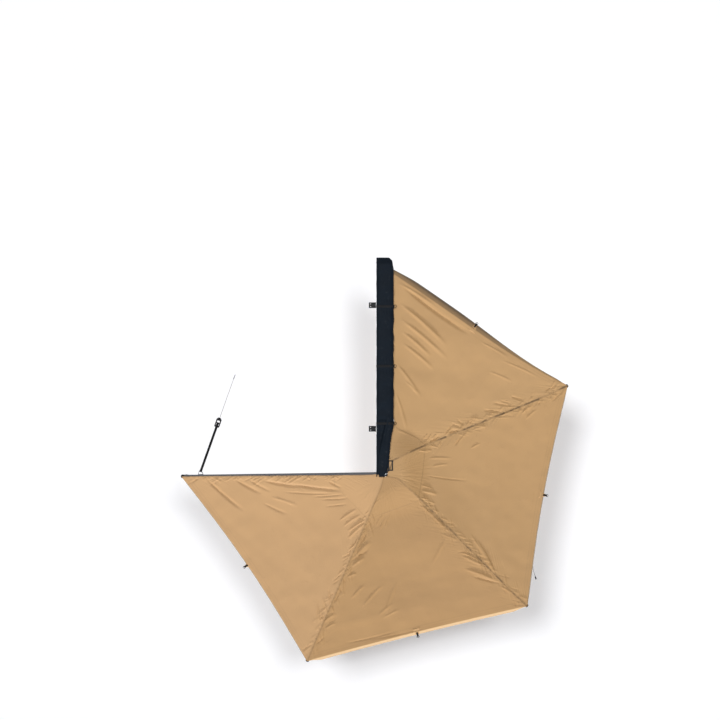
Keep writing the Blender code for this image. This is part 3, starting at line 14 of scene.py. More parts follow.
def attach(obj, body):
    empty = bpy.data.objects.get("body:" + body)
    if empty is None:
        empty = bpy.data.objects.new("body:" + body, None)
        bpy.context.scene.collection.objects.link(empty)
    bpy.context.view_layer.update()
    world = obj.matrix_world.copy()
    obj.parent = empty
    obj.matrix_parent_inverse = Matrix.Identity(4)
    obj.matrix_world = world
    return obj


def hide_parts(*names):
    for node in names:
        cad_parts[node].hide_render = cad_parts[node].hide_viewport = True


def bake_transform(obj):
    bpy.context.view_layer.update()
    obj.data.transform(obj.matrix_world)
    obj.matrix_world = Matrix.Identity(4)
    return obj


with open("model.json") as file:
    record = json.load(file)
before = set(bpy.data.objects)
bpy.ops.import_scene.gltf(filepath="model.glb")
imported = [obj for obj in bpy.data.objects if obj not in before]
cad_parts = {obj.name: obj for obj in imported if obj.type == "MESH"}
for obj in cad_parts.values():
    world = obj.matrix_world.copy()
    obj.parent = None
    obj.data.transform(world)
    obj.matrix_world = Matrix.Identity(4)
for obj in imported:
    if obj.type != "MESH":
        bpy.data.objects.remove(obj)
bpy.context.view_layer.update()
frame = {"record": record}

# Sizes that repeat the part's own
SEAT = 0.0003
HUB_X, HUB_Y = 0.0924, -1.116
ARM_AZIMUTHS = (64.4, 133.0, 202.5, 269.2)
ARM_LENGTHS = (2.137, 2.052, 2.137, 2.137)
ARM_TOPS = (-0.0357, -0.0019, 0.0319, 0.0657)
TIP_SHOWN, ARM_FLAT = 0.012, 0.019
CANOPY_HOLE, CANOPY_SAG, VALANCE_DROP = 0.036, 0.034, 0.062
PLATEAU, PLATEAU_RADIUS, SLOPE_RADIUS = 0.0738, 0.200, 0.620
EDGE_X, CLAMP_REAR, CLAMP_FRONT, CLAMP_MID, RAMP_START = 0.0286, -0.9265, 1.075, 0.066, -0.952
DRAWN_IN, DRAWN_POWER = (0.038, 0.042, 0.012, 0.047), (1.87, 1.0, 1.0, 1.0)
HEM_OUT = (0.066, 0.016, 0.036, 0.014)
SEAM_AHEAD = (0.088, 0.058, 0.014, 0.010)
RAIL_TOP, RAIL_END = 0.075, 1.09
GROOVE_X, GROOVE_FLOOR, GROOVE_END = 0.0075, 0.069, 1.078
CROWN, COVER_WIDTH, COVER_LIP, COVER_DROP = 0.1163, 0.1827, 0.074, 0.125
COVER_REAR, COVER_FRONT = -1.147, 1.144
STRAP_PLACES, STRAP_CLEAR = (0.635, 0.010, -0.590), 0.030
STRAP_WIDTH, STRAP_THICKNESS = 0.025, 0.0016
RING_WIRE = 0.0022

# Sizes of the cloth, and how much each panel's folds and puckers are raised
CLOTH, COVER_CLOTH, BINDING = 0.0012, 0.0024, 0.0021
FOLD_LIFT = (2.8, 3.1, 3.0, 3.8)
PUCKER_LIFT = (1.5, 1.0, 1.35, 1.2)
PUCKER_START, PUCKER_STEP = 0.42, 0.036


def eased(x):
    """Smooth step from 0 to 1."""
    x = np.clip(x, 0.0, 1.0)
    return x * x * (3 - 2 * x)


# Camera, light and floor

VIEW_X, VIEW_Y, CAMERA_HEIGHT, VIEW_WIDTH = -0.168, 0.0736, 28.0, 7.56
FLOOR_Z, FLOOR_REACH = -2.1, 60
scene = bpy.context.scene
scene.view_settings.view_transform = "Standard"


def add(name, data):
    """A new object in the scene."""
    made = bpy.data.objects.new(name, data)
    scene.collection.objects.link(made)
    return made


camera = add("camera", bpy.data.cameras.new("camera"))
camera.location = (VIEW_X, VIEW_Y, CAMERA_HEIGHT)
camera.data.lens = camera.data.sensor_width * CAMERA_HEIGHT / VIEW_WIDTH
camera.data.clip_end = 200.0
scene.camera = camera

# Shares of the light on a level surface, together 1
RIGHT_SUN, LEFT_SUN, LOW_SUN, SKY = 0.42, 0.30, 0.22, 0.06


def sun(name, travels, share, spread):
    """A sun whose light travels one way and gives a level surface its share."""
    way = Vector(travels).normalized()
    lamp = add(name, bpy.data.lights.new(name, "SUN"))
    lamp.rotation_euler = way.to_track_quat("-Z", "Y").to_euler()
    lamp.data.energy = share * pi / -way.z
    lamp.data.angle = radians(spread)


sun("right_sun", (0.180, -0.175, -1.0), RIGHT_SUN, 10.5)
sun("left_sun", (-0.128, -0.138, -1.0), LEFT_SUN, 9.0)
sun("low_sun", (-0.04, 0.96, -0.22), LOW_SUN, 5.0)


class Socket:
    """A shader socket. Operators on it add Math nodes."""

    def __init__(self, finish, socket):
        self.finish, self.socket = finish, socket

    def maths(self, operation, *values):
        """A Math node whose first value is this socket."""
        return self.finish.node("ShaderNodeMath", {"operation": operation}, dict(enumerate((self, *values))))

    def out(self, name):
        """Another output of this socket's node."""
        return Socket(self.finish, self.socket.node.outputs[name])

    def __add__(self, other):
        return self.maths("ADD", other)

    def __sub__(self, other):
        return self.maths("SUBTRACT", other)

    def __rsub__(self, other):
        return (self * -1.0) + other

    def __mul__(self, other):
        return self.maths("MULTIPLY", other)

    def __abs__(self):
        return self.maths("ABSOLUTE")

    __radd__, __rmul__ = __add__, __mul__


class Finish:
    """A node tree of a material or of the world."""

    def __init__(self, holder):
        holder.use_nodes = True
        self.holder, self.tree = holder, holder.node_tree
        self.tree.nodes.clear()

    def node(self, kind, settings=None, sockets=None):
        """Adds a node: its settings first, then the values or links of its sockets."""
        made = self.tree.nodes.new(kind)
        for name, value in (settings or {}).items():
            setattr(made, name, value)
        for name, value in (sockets or {}).items():
            if isinstance(value, Socket):
                self.tree.links.new(value.socket, made.inputs[name])
            else:
                made.inputs[name].default_value = value
        return Socket(self, made.outputs[0]) if made.outputs else None

    def tint(self, share, first, second):
        """Two colours mixed."""
        sockets = {0: share, 6: colour(first), 7: colour(second)}
        return self.node("ShaderNodeMix", {"data_type": "RGBA"}, sockets).out(2)

    def step(self, x, low, high):
        """Smooth step of x between two values."""
        return self.node("ShaderNodeMapRange", {"interpolation_type": "SMOOTHSTEP"}, {0: x, 1: low, 2: high})

    def line(self, x, middle, half, soft):
        """1 on a line where x is middle, 0 away from it."""
        return 1 - self.step(abs(x - middle), half, half + soft)

    def lines(self, x, middles, half, soft):
        """1 on each of several lines, 0 away from them."""
        first, *others = [self.line(x, middle, half, soft) for middle in middles]
        return sum(others, first)

    def stretched(self, at, scale):
        """Coordinates times a scale."""
        return self.node("ShaderNodeVectorMath", {"operation": "MULTIPLY"}, {0: at, 1: scale})

    def place(self, scale=(1, 1, 1)):
        """Coordinates on a piece that moves as one."""
        return self.stretched(self.node("ShaderNodeTexCoord").out("Object"), scale)

    def held(self, name):
        """A measure that the piece's mesh carries."""
        return self.node("ShaderNodeAttribute", {"attribute_name": name}).out("Fac")

    def speckle(self, at, scale, detail=3.0, rough=0.55):
        """Noise from 0 to 1."""
        sockets = {"Vector": at, "Scale": scale, "Detail": detail, "Roughness": rough}
        return self.node("ShaderNodeTexNoise", {}, sockets)

    def wave(self, x, pitch):
        """Sine of a length, from -1 to 1 over a pitch."""
        return (x * (2 * pi / pitch)).maths("SINE")

    def surface(self, tone, roughness, height, relief, depth, specular=0.5, **fixed):
        """Ends the finish in a principled surface. Depth is what a height of 1 is in metres."""
        bump = self.node("ShaderNodeBump", {}, {"Strength": relief, "Distance": depth, "Height": height})
        sockets = {"Base Color": tone, "Roughness": roughness, "Normal": bump, "Specular IOR Level": specular}
        shader = self.node("ShaderNodeBsdfPrincipled", {}, {**sockets, **fixed})
        self.node("ShaderNodeOutputMaterial", {}, {"Surface": shader})
        return self.holder


def colour(value):
    """A colour with its alpha, or a socket as it is."""
    return value if isinstance(value, Socket) else (*value[:3], 1.0)


def shade(*rgb):
    """Linear colour of a shade written from 0 to 255."""
    parts = [c / 255 for c in rgb]
    return tuple(c / 12.92 if c <= 0.04045 else ((c + 0.055) / 1.055) ** 2.4 for c in parts)


def scaled(base, share):
    """A colour made darker or lighter."""
    return tuple(c * share for c in base)


def finish(name):
    """The node tree of a new material."""
    return Finish(bpy.data.materials.new(name))


def seen(tree):
    """1 for what the camera sees directly, in a mirror or through glass."""
    path = tree.node("ShaderNodeLightPath")
    return path.maths("MAXIMUM", path.out("Is Glossy Ray")).maths("MAXIMUM", path.out("Is Transmission Ray"))


WHITE = (1.0, 1.0, 1.0, 1.0)
world = bpy.data.worlds.new("studio")
scene.world = world
sky = Finish(world)
backdrop = sky.node("ShaderNodeBackground", {}, {0: WHITE, 1: seen(sky) * (1 - SKY) + SKY})
sky.node("ShaderNodeOutputWorld", {}, {0: backdrop})

floor_mesh = bpy.data.meshes.new("floor")
floor_corners = [(x * FLOOR_REACH, y * FLOOR_REACH, FLOOR_Z) for x, y in ((-1, -1), (1, -1), (1, 1), (-1, 1))]
floor_mesh.from_pydata(floor_corners, [], [(0, 1, 2, 3)])
floor = add("floor", floor_mesh)
ground = finish("pale_floor")
matt = ground.node("ShaderNodeBsdfDiffuse", {}, {0: (0.93, 0.945, 0.98, 1.0)})
glow = ground.node("ShaderNodeEmission", {}, {0: WHITE, 1: seen(ground) * 0.07})
lit = ground.node("ShaderNodeAddShader", {}, {0: matt, 1: glow})
# From below the floor is clear
below = ground.node("ShaderNodeNewGeometry").out("Backfacing")
clear = ground.node("ShaderNodeBsdfTransparent", {}, {0: WHITE})
shown = ground.node("ShaderNodeMixShader", {}, {0: below, 1: lit, 2: clear})
ground.node("ShaderNodeOutputMaterial", {}, {0: shown})
floor_mesh.materials.append(ground.holder)


# Meshes


def run_lengths(line):
    """Length along a line up to each of its points."""
    return np.concatenate([[0], np.cumsum(np.linalg.norm(np.diff(line, axis=0), axis=1))])


def square_to_grid(grid):
    """Unit vectors square to a grid of points."""
    normal = np.cross(np.gradient(grid, axis=0), np.gradient(grid, axis=1))
    return normal / np.maximum(np.linalg.norm(normal, axis=2, keepdims=True), 1e-12)


def smooth_piece(name, points, faces, measures, material):
    """A smooth piece with its finish, whose mesh carries measures of its points."""
    mesh = bpy.data.meshes.new(name)
    mesh.from_pydata(points.reshape(-1, 3).tolist(), [], faces)
    for measure, values in measures.items():
        held = mesh.attributes.new(measure, "FLOAT", "POINT")
        held.data.foreach_set("value", np.asarray(values, np.float32).ravel())
    mesh.validate()
    mesh.shade_smooth()
    mesh.materials.append(material)
    made = add(name, mesh)
    return made or made


def cloth(name, top, thickness, material, up=(0, 0, 1), measures=None):
    """A closed sheet of cloth below a grid of points, which is its upper face."""
    normal = square_to_grid(top)
    side = 1.0 if float((normal @ np.array(up, float)).mean()) > 0 else -1.0
    rows, columns = top.shape[:2]
    count = rows * columns
    index = np.arange(count).reshape(rows, columns)
    quads = np.stack([index[:-1, :-1], index[1:, :-1], index[1:, 1:], index[:-1, 1:]], axis=2).reshape(-1, 4)
    quads = quads if side > 0 else quads[:, ::-1]
    faces = quads.tolist() + (quads[:, ::-1] + count).tolist()
    rim = [int(i) for i in (*index[0], *index[1:, -1], *index[-1, -2::-1], *index[-2:0:-1, 0])]
    for a, b in zip(rim, rim[1:] + rim[:1]):
        face = [a, b, b + count, a + count]
        faces.append(face if side > 0 else face[::-1])
    held = {measure: np.tile(np.ravel(values), 2) for measure, values in (measures or {}).items()}
    return smooth_piece(name, np.stack([top, top - normal * side * thickness]), faces, held, material)


def square_to(path):
    """Two directions square to a line at each of its points, which don't twist."""
    ways = np.gradient(path, axis=0)
    ways /= np.linalg.norm(ways, axis=1, keepdims=True)
    side = np.cross(ways[0], (0.0, 0.0, 1.0) if abs(ways[0][2]) < 0.9 else (0.31, -0.95, 0.05))
    sides = []
    for way in ways:
        side = side - way * (side @ way)
        side = side / np.linalg.norm(side)
        sides.append(side)
    return np.array(sides), np.cross(np.array(sides), ways)


def tube(name, path, radius, sides, material, relief=None):
    """A closed tube along a line of points. Relief gives its radius's share at a turn and a length."""
    path = np.asarray(path, float)
    across, rise = square_to(path)
    turns = np.linspace(0, 2 * pi, sides, endpoint=False)[None, :]
    lengths = run_lengths(path)
    out = np.broadcast_to(np.asarray(radius, float).reshape(-1, 1), (len(path), sides))
    if relief:
        out = out * relief(turns, lengths[:, None])
    beside, above = (out * np.cos(turns))[:, :, None], (out * np.sin(turns))[:, :, None]
    rings = path[:, None, :] + across[:, None, :] * beside + rise[:, None, :] * above
    last = (len(path) - 1) * sides
    pairs = [(k, (k + 1) % sides) for k in range(sides)]
    faces = [(i + k, i + j, i + sides + j, i + sides + k) for i in range(0, last, sides) for k, j in pairs]
    faces += [tuple(range(sides))[::-1], tuple(range(last, last + sides))]
    return smooth_piece(name, rings, faces, {"along": np.repeat(lengths, sides)}, material)


def braided_tube(name, path, radius, material):
    """A braided cord, its strands standing out a little."""

    def strands(turn, along):
        advance = 2 * pi * along / (6.0 * radius)
        return 1.0 + 0.045 * np.sin(4 * turn + advance) * np.sin(4 * turn - advance)

    return tube(name, path, radius, 16, material, strands)


def ribbon(name, line, across, width, columns=9):
    """Webbing along a line, with its edges rounded down a little."""
    line, across = np.asarray(line, float), np.asarray(across, float)
    out = np.cross(np.gradient(line, axis=0), across)
    out /= np.linalg.norm(out, axis=1, keepdims=True)
    t = np.linspace(-1, 1, columns)
    rise = STRAP_THICKNESS * (0.5 - 0.15 * t**6)
    top = line[:, None, :] + across * (t * width / 2)[None, :, None] + out[:, None, :] * rise[None, :, None]
    along = run_lengths(line)[:, None] + 0 * t
    measures = {"along": along, "across": t * width / 2 + 0 * along, "to_end": along[-1:] - along}
    return cloth(name, top, STRAP_THICKNESS, WEBBING, tuple(out.mean(axis=0)), measures)


def fixed_to(body, piece, node):
    """Lets a piece ride with one body, in place of a node of the frame."""
    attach(piece, body)
    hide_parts(node)
    return piece


def blended(piece, weights, node):
    """Keeps a piece where it stands, its place baked into its mesh, in place of a node. The shares it is
    given are not used.
    """
    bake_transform(piece)
    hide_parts(node)


# Finishes


def canopy_cloth(number, base, hem_light_and_shade, seam_shade, hub_shade):
    """Coated tan cloth with sewn seams, hub patch and hems, with painted shade in the seams, near the hub and
    on the hems.
    """
    f = finish(f"canopy_cloth_{number}")
    at = f.node("ShaderNodeAttribute", {"attribute_name": "rest_place"}).out("Vector")
    x = f.node("ShaderNodeSeparateXYZ", {}, {0: at})
    y = x.out("Y")
    first, second, edge = f.held("from_first"), f.held("from_second"), f.held("from_edge")
    patch, reach = f.held("in_patch"), f.held("reach")
    seam = first.maths("MINIMUM", second)
    inside, patched = f.step(edge, -0.002, 0.002), f.step(patch, -0.0004, 0.0004)
    # Weave: yarn, ripstop threads, slubs and clouds of tone
    yarn = f.wave(x, 0.0021) * f.wave(y, 0.0021)
    rip_x, rip_y = (f.line(f.wave(way, 0.014), 1.0, 0.03, 0.05) for way in (x, y))
    rip = rip_x.maths("MAXIMUM", rip_y)
    clouds, grain = f.speckle(at, 2.2, 4.0, 0.6), f.speckle(at, 46.0, 4.0, 0.65)
    slubs = f.speckle(f.stretched(at, (1.0, 14.0, 1.0)), 24.0, 2.0)
    light, deep = scaled(base, 1.07), tuple(c * share for c, share in zip(base, (0.925, 0.905, 0.88)))
    tone = f.tint(clouds * 0.55 + grain * 0.25 + slubs * 0.20, deep, light)
    # Rows of stitches along the seams, the patch and the hem
    sewn = f.lines(seam, (0.0030, 0.0075), 0.0006, 0.0006)
    sewn = sewn * f.step(f.wave(reach, 0.0065), -0.3, 0.1) * f.step(reach, 0.10, 0.12)
    dashes = f.step(f.wave(x + y * 0.61, 0.0075), -0.3, 0.1)
    patch_sewn = f.lines(patch, (0.005, 0.012), 0.0006, 0.0006) * dashes * inside
    hem_sewn = f.lines(edge, (-0.012, 0.004), 0.0007, 0.0007) * dashes
    stitches = (sewn + patch_sewn + hem_sewn).maths("MINIMUM", 1.0)
    # Painted shade in the grooves along the seams and the patch, broken by chance, painted shade beside the
    # seams and at the edge, and soft dark lines beside the hem
    uneven, broken = f.speckle(at, 9.0, 3.0, 0.6), f.step(f.speckle(at, 7.5, 4.0, 0.65), 0.42, 0.60)
    groove = f.line(patch, 0.0, 0.0014, 0.005) * uneven * 0.45 * inside
    for from_seam, dark in zip((first, second), seam_shade):
        groove = groove + f.line(from_seam, 0.0, 0.0042, 0.0100) * (broken * dark + 0.14)
    seam_and_edge_shade = f.line(seam, 0.0, 0.004, 0.030) * 0.08 + f.line(edge, 0.0, 0.002, 0.10) * 0.035
    hem_line = (f.line(edge, 0.034, 0.002, 0.006) + f.line(edge, 0.068, 0.002, 0.008)) * uneven * 0.16
    tone = f.tint((groove + seam_and_edge_shade + hem_line).maths("MINIMUM", 1.0), tone, scaled(base, 0.36))
    tone = f.tint(patched * inside * 0.10, tone, scaled(base, 1.22))
    tone = f.tint(stitches * 0.35, tone, scaled(base, 0.60))
    tone = f.tint(rip * 0.06, tone, light)
    # Painted shade near the hub, darker the closer to it
    tone = f.tint((1 - f.step(reach, 0.35, 1.75)) * hub_shade, tone, scaled(base, 0.45))
    # The hem in its panel's hem colour: painted light on a hem that faces the low light, painted shade on one
    # that faces away
    tone = f.tint((1 - f.step(edge, -0.006, 0.001)) * 0.85, tone, hem_light_and_shade)
    # Painted shade on the first panel's valance, which faces away from the light, uneven along it
    if number == 1:
        valance_shade = (1 - f.step(edge, -0.080, -0.016)) * (uneven * 0.5 + 0.55)
        tone = f.tint(valance_shade, tone, scaled(hem_light_and_shade, 0.20))
    # Relief: gathers beside the seams, rays around the hub, the seams' fells and the weave
    gathers_at = f.node("ShaderNodeCombineXYZ", {}, {0: reach + seam * 0.9, 1: seam * 0.22, 2: 0.37 * number})
    gathers = (f.speckle(gathers_at, 26.0, 2.0, 0.5) - 0.5) * (1 - f.step(seam, 0.010, 0.24))
    gathers = gathers * f.step(f.speckle(at, 3.1, 2.0), 0.40, 0.58) * f.step(reach, 0.16, 0.34)
    turn = (y - HUB_Y).maths("ARCTAN2", x - HUB_X)
    rays_at = f.node("ShaderNodeCombineXYZ", {}, {0: turn, 1: reach * 0.35, 2: 1.7 * number})
    rays = (f.speckle(rays_at, 13.0, 2.0, 0.5) - 0.5) * f.step(reach, 0.05, 0.14)
    rays = rays * (1 - f.step(reach, 0.45, 0.95)) * f.step(f.speckle(at, 2.3, 2.0), 0.38, 0.56)
    height = gathers * 17.0 + rays * 11.0 + f.line(seam, 0.0, 0.0085, 0.001) * 0.5 + patched * 0.8
    height = height + yarn * 0.05 + rip * 0.10 + slubs * 0.12 - stitches * 0.45
    sheen = {"Sheen Weight": 0.10, "Sheen Roughness": 0.5}
    return f.surface(tone, grain * 0.10 + 0.60, height, 0.55, 0.0009, 0.35, **sheen)


def cover_cloth(name, base):
    """Heavy coated navy cloth of the travel cover."""
    f = finish(name)
    at = f.place()
    length = f.node("ShaderNodeSeparateXYZ", {}, {0: at}).out("Y")
    girth, to_lip = f.held("girth"), f.held("to_lip")
    yarn = f.wave(length, 0.0024) * f.wave(girth, 0.0024)
    clouds, grain = f.speckle(at, 7.0, 4.0, 0.6), f.speckle(at, 120.0, 3.0, 0.6)
    dust = f.step(f.speckle(at, 22.0, 5.0, 0.7), 0.56, 0.80)
    seam = f.line(girth, 0.062, 0.0010, 0.0012).maths("MAXIMUM", f.line(to_lip, 0.022, 0.0010, 0.0012))
    rows = f.lines(girth, (0.068, 0.056), 0.0008, 0.0006) + f.lines(to_lip, (0.015, 0.028), 0.0008, 0.0006)
    rows = rows * f.step(f.wave(length, 0.0080), -0.3, 0.1)
    tone = f.tint(clouds * 0.6 + grain * 0.4, scaled(base, 0.74), scaled(base, 1.28))
    tone = f.tint(dust * 0.10, tone, (0.16, 0.17, 0.18))
    tone = f.tint(rows * 0.5, tone, scaled(base, 2.4))
    tone = f.tint(seam * 0.5, tone, scaled(base, 0.4))
    height = yarn * 0.16 + grain * 0.25 - seam * 0.8 + rows * 0.5
    return f.surface(tone, clouds * 0.16 + 0.50, height, 0.6, 0.0008, 0.05)


def webbing(name, base):
    """Woven strap with ribbed weave and sewn ends."""
    f = finish(name)
    along, across, to_end = f.held("along"), f.held("across"), f.held("to_end")
    twill, ribs = f.wave(along + abs(across) * 0.9, 0.0030), f.wave(across, 0.0032)
    edge = f.step(abs(across), 0.0105, 0.0118)
    box = f.line(along, 0.030, 0.0006, 0.0006) + f.lines(to_end, (0.010, 0.040), 0.0006, 0.0006)
    first, second = (f.line(to_end - 0.025 + across * lean, 0.0, 0.0008, 0.0006) for lean in (-1.5, 1.5))
    sewn = (box + (first + second) * f.line(to_end, 0.025, 0.015, 0.001)).maths("MINIMUM", 1.0)
    sewn = sewn * f.step(f.wave(along + across, 0.0028), -0.4, 0.2)
    grain = f.speckle(f.place(), 160.0, 3.0)
    tone = f.tint(twill * 0.22 + 0.30 + grain * 0.4, scaled(base, 0.6), scaled(base, 1.7))
    tone = f.tint(edge * 0.4, tone, scaled(base, 0.5))
    tone = f.tint(sewn * 0.7, tone, scaled(base, 3.0))
    height = twill * 0.4 + ribs * 0.25 + sewn * 0.6 - edge * 0.4
    return f.surface(tone, grain * 0.12 + 0.66, height, 0.7, 0.0006, 0.08)


def webbing_tape(name, base):
    """Woven binding tape, ribbed along its length."""
    f = finish(name)
    along = f.held("along")
    grain = f.speckle(f.place(), 150.0, 3.0)
    ribs, dashes = f.wave(along, 0.0018), f.step(f.wave(along, 0.0080), 0.1, 0.5)
    tone = f.tint(grain * 0.5 + ribs * 0.2 + 0.25, scaled(base, 0.7), scaled(base, 1.5))
    tone = f.tint(dashes * 0.18, tone, scaled(base, 2.2))
    return f.surface(tone, grain * 0.12 + 0.60, ribs * 0.5 + grain * 0.3, 0.7, 0.0005, 0.06)


def braid(name, base):
    """Braided cord, two strands crossing."""
    f = finish(name)
    along, grain = f.held("along"), f.speckle(f.place(), 420.0, 2.0)
    strands = f.wave(along, 0.0045) * 0.5 + f.wave(along + grain * 0.002, 0.0031) * 0.3
    tone = f.tint(strands * 0.35 + grain * 0.3 + 0.35, scaled(base, 0.66), scaled(base, 1.25))
    return f.surface(tone, 0.72 - grain * 0.1, strands, 0.8, 0.0006, 0.12)


def anodised(name, base):
    """Satin anodised aluminium with fine drawn lines and rubbed spots."""
    f = finish(name)
    at = f.place()
    drawn = f.speckle(f.place((1.0, 1.0, 22.0)), 60.0, 4.0, 0.7)
    cloud, rubbed = f.speckle(at, 9.0, 3.0), f.step(f.speckle(at, 30.0, 5.0, 0.7), 0.60, 0.75)
    scratch = f.line(f.speckle(f.place((3.0, 3.0, 60.0)), 14.0, 2.0), 0.5, 0.004, 0.006)
    tone = f.tint(cloud * 0.6 + drawn * 0.4, scaled(base, 0.88), scaled(base, 1.12))
    tone = f.tint(rubbed * 0.16 + scratch * 0.2, tone, scaled(base, 1.35))
    rough = drawn * 0.14 + 0.36 - rubbed * 0.05
    return f.surface(tone, rough, drawn * 0.3 - scratch * 0.5, 0.25, 0.0003, Metallic=1.0)


def zinc(name, base):
    """Zinc-plated steel, spangled and a little dull."""
    f = finish(name)
    at = f.place()
    spangle = f.node("ShaderNodeTexVoronoi", {"feature": "F1"}, {"Vector": at, "Scale": 260.0}).out("Color")
    grey, cloud = f.node("ShaderNodeRGBToBW", {}, {0: spangle}), f.speckle(at, 90.0, 4.0, 0.6)
    tone = f.tint(grey * 0.5 + cloud * 0.5, scaled(base, 0.78), scaled(base, 1.2))
    return f.surface(tone, cloud * 0.22 + 0.24, cloud * 0.6 + grey * 0.2, 0.25, 0.0003, Metallic=1.0)


def powder_coat(name, base):
    """Black powder coat on steel, with its fine orange-peel skin and worn spots."""
    f = finish(name)
    at = f.place()
    peel, cloud = f.speckle(at, 520.0, 2.0), f.speckle(at, 24.0, 4.0)
    worn = f.step(f.speckle(at, 70.0, 5.0, 0.72), 0.66, 0.74)
    tone = f.tint(cloud, scaled(base, 0.75), scaled(base, 1.35))
    tone = f.tint(worn * 0.20, tone, (0.16, 0.16, 0.165))
    return f.surface(tone, cloud * 0.14 + 0.38, peel, 0.35, 0.0004, 0.10)


def moulded(name, base, grain_size=700.0, gloss=0.52):
    """Moulded plastic or rubber with a fine grain and handling marks."""
    f = finish(name)
    at = f.place()
    grain, cloud = f.speckle(at, grain_size, 2.0), f.speckle(at, 18.0, 4.0)
    marks = f.line(f.speckle(f.place((1.0, 6.0, 6.0)), 25.0, 3.0), 0.5, 0.006, 0.01)
    tone = f.tint(cloud * 0.7 + grain * 0.3, scaled(base, 0.7), scaled(base, 1.35))
    tone = f.tint(marks * 0.25, tone, scaled(base, 2.2))
    return f.surface(tone, cloud * 0.12 + gloss, grain * 0.8 - marks * 0.2, 0.4, 0.0003, 0.10)


ALUMINIUM = anodised("anodised_aluminium", (0.40, 0.40, 0.41))
BLACK_ALUMINIUM = anodised("black_anodised_aluminium", (0.034, 0.034, 0.037))
STEEL = zinc("zinc_steel", (0.30, 0.31, 0.33))
DARK_STEEL = zinc("dark_zinc_steel", (0.045, 0.046, 0.050))
BLACK_STEEL = powder_coat("black_powder_coat", (0.012, 0.0125, 0.014))
BLACK_PLASTIC = moulded("black_plastic", (0.013, 0.013, 0.015))
RUBBER = moulded("black_rubber", (0.017, 0.017, 0.018), 300.0, 0.74)
ZIP_COIL = moulded("black_zip_coil", (0.020, 0.021, 0.024), 300.0, 0.45)
WEBBING = webbing("black_webbing", (0.013, 0.0135, 0.015))
GREY_CORD = braid("grey_cord", (0.42, 0.42, 0.40))
BLACK_CORD = braid("black_cord", (0.012, 0.012, 0.014))
NAVY = cover_cloth("navy_cover_cloth", shade(19, 26, 34))
NAVY_TRIM = webbing_tape("navy_binding", shade(26, 31, 38))
TAN_TRIM = moulded("canopy_trim_cloth", shade(196, 158, 114), 500.0, 0.66)
# Of each panel: its cloth colour, a different painted shade per panel standing in for how the panel faces the
# light; its hem colour, painted light where the hem faces the low light and painted shade where it faces
# away; how much painted shade lies in its seams; and how much painted shade darkens it near the hub
PANEL_LIGHT_AND_SHADE = (
    ((188, 150, 103), (150, 122, 88), (0.0, 1.0), 0.04),
    ((185, 147, 100), (158, 127, 84), (1.0, 0.66), 0.06),
    ((180, 142, 96), (206, 172, 126), (0.66, 0.14), 0.08),
    ((195, 156, 111), (160, 130, 88), (0.10, 0.45), 0.02),
)
TAN = []
for number, (rgb, hem, *dark) in enumerate(PANEL_LIGHT_AND_SHADE, 1):
    TAN.append(canopy_cloth(number, shade(*rgb), shade(*hem), *dark))

BY_SLOT = {
    "aluminium": ALUMINIUM, "black_aluminium": BLACK_ALUMINIUM, "steel": STEEL, "black_steel": BLACK_STEEL,
    "black_plastic": BLACK_PLASTIC, "rubber": RUBBER,
}
DARK_NODES = ("strap_anchor", "mount_bolt_front", "mount_bolt_rear")
for subpart in frame["record"]["subparts"]:
    node, material = bpy.data.objects.get(subpart["node"]), BY_SLOT.get(subpart["material_slot"])
    material = DARK_STEEL if subpart["node"] in DARK_NODES else material
    if node is not None and material is not None:
        for place in node.material_slots:
            place.link, place.material = "OBJECT", material


# Canopy


def arm_ways(n):
    """An arm's direction, and the direction ahead of it, as the arms swing out."""
    a = radians(ARM_AZIMUTHS[n])
    return np.array([sin(a), cos(a)]), np.array([-cos(a), sin(a)])


def seam_ahead(n, radius):
    """How far the seam over an arm lies ahead of the arm's middle."""
    return SEAM_AHEAD[n] * eased((radius - 0.030) / 0.120) * np.clip((1.87 - radius) / 1.5, 0.0, 1.0)


def past_seam(n, x, y):
    """How far points, in metres from the pivot, lie ahead of the seam of arm n."""
    along, ahead = arm_ways(n)
    return x * ahead[0] + y * ahead[1] - seam_ahead(n, x * along[0] + y * along[1])


def seam_line(n, share):
    """Points of the seam over arm n, at shares of the way from the hub's hole to the corner."""
    radius = CANOPY_HOLE + share * (ARM_LENGTHS[n] - TIP_SHOWN - CANOPY_HOLE)
    along, ahead = arm_ways(n)
    flat = np.array([HUB_X, HUB_Y]) + radius[:, None] * along + seam_ahead(n, radius)[:, None] * ahead
    drop = eased((radius - PLATEAU_RADIUS) / (SLOPE_RADIUS - PLATEAU_RADIUS))
    return np.column_stack([flat, PLATEAU + (ARM_TOPS[n] + SEAT - PLATEAU) * drop])


def clamped_line(share):
    """Points of the canopy's inner edge, from the hub's hole along the rail to its front end."""
    full = ARM_LENGTHS[0] - TIP_SHOWN
    reach = CANOPY_HOLE + share * (full - CANOPY_HOLE)
    end = hypot(EDGE_X - HUB_X, CLAMP_FRONT - HUB_Y)
    reach = reach + (end - full) * eased((reach - PLATEAU_RADIUS) / (full - PLATEAU_RADIUS))
    start = np.array([HUB_X - CANOPY_HOLE * sin(radians(20)), HUB_Y + CANOPY_HOLE * cos(radians(20))])
    held = hypot(EDGE_X - HUB_X, CLAMP_REAR - HUB_Y)
    part = np.clip((reach - CANOPY_HOLE) / (held - CANOPY_HOLE), 0, 1)[:, None]
    near = start + (np.array([EDGE_X, CLAMP_REAR]) - start) * part
    forward = np.sqrt(np.maximum(reach**2 - (EDGE_X - HUB_X) ** 2, 0))
    flat = np.where(part < 1, near, np.column_stack([np.full_like(reach, EDGE_X), HUB_Y + forward]))
    ramp = eased((flat[:, 1] - RAMP_START) / (CLAMP_REAR - RAMP_START))
    return np.column_stack([flat, PLATEAU + (CLAMP_MID - 0.0008 - PLATEAU) * ramp])


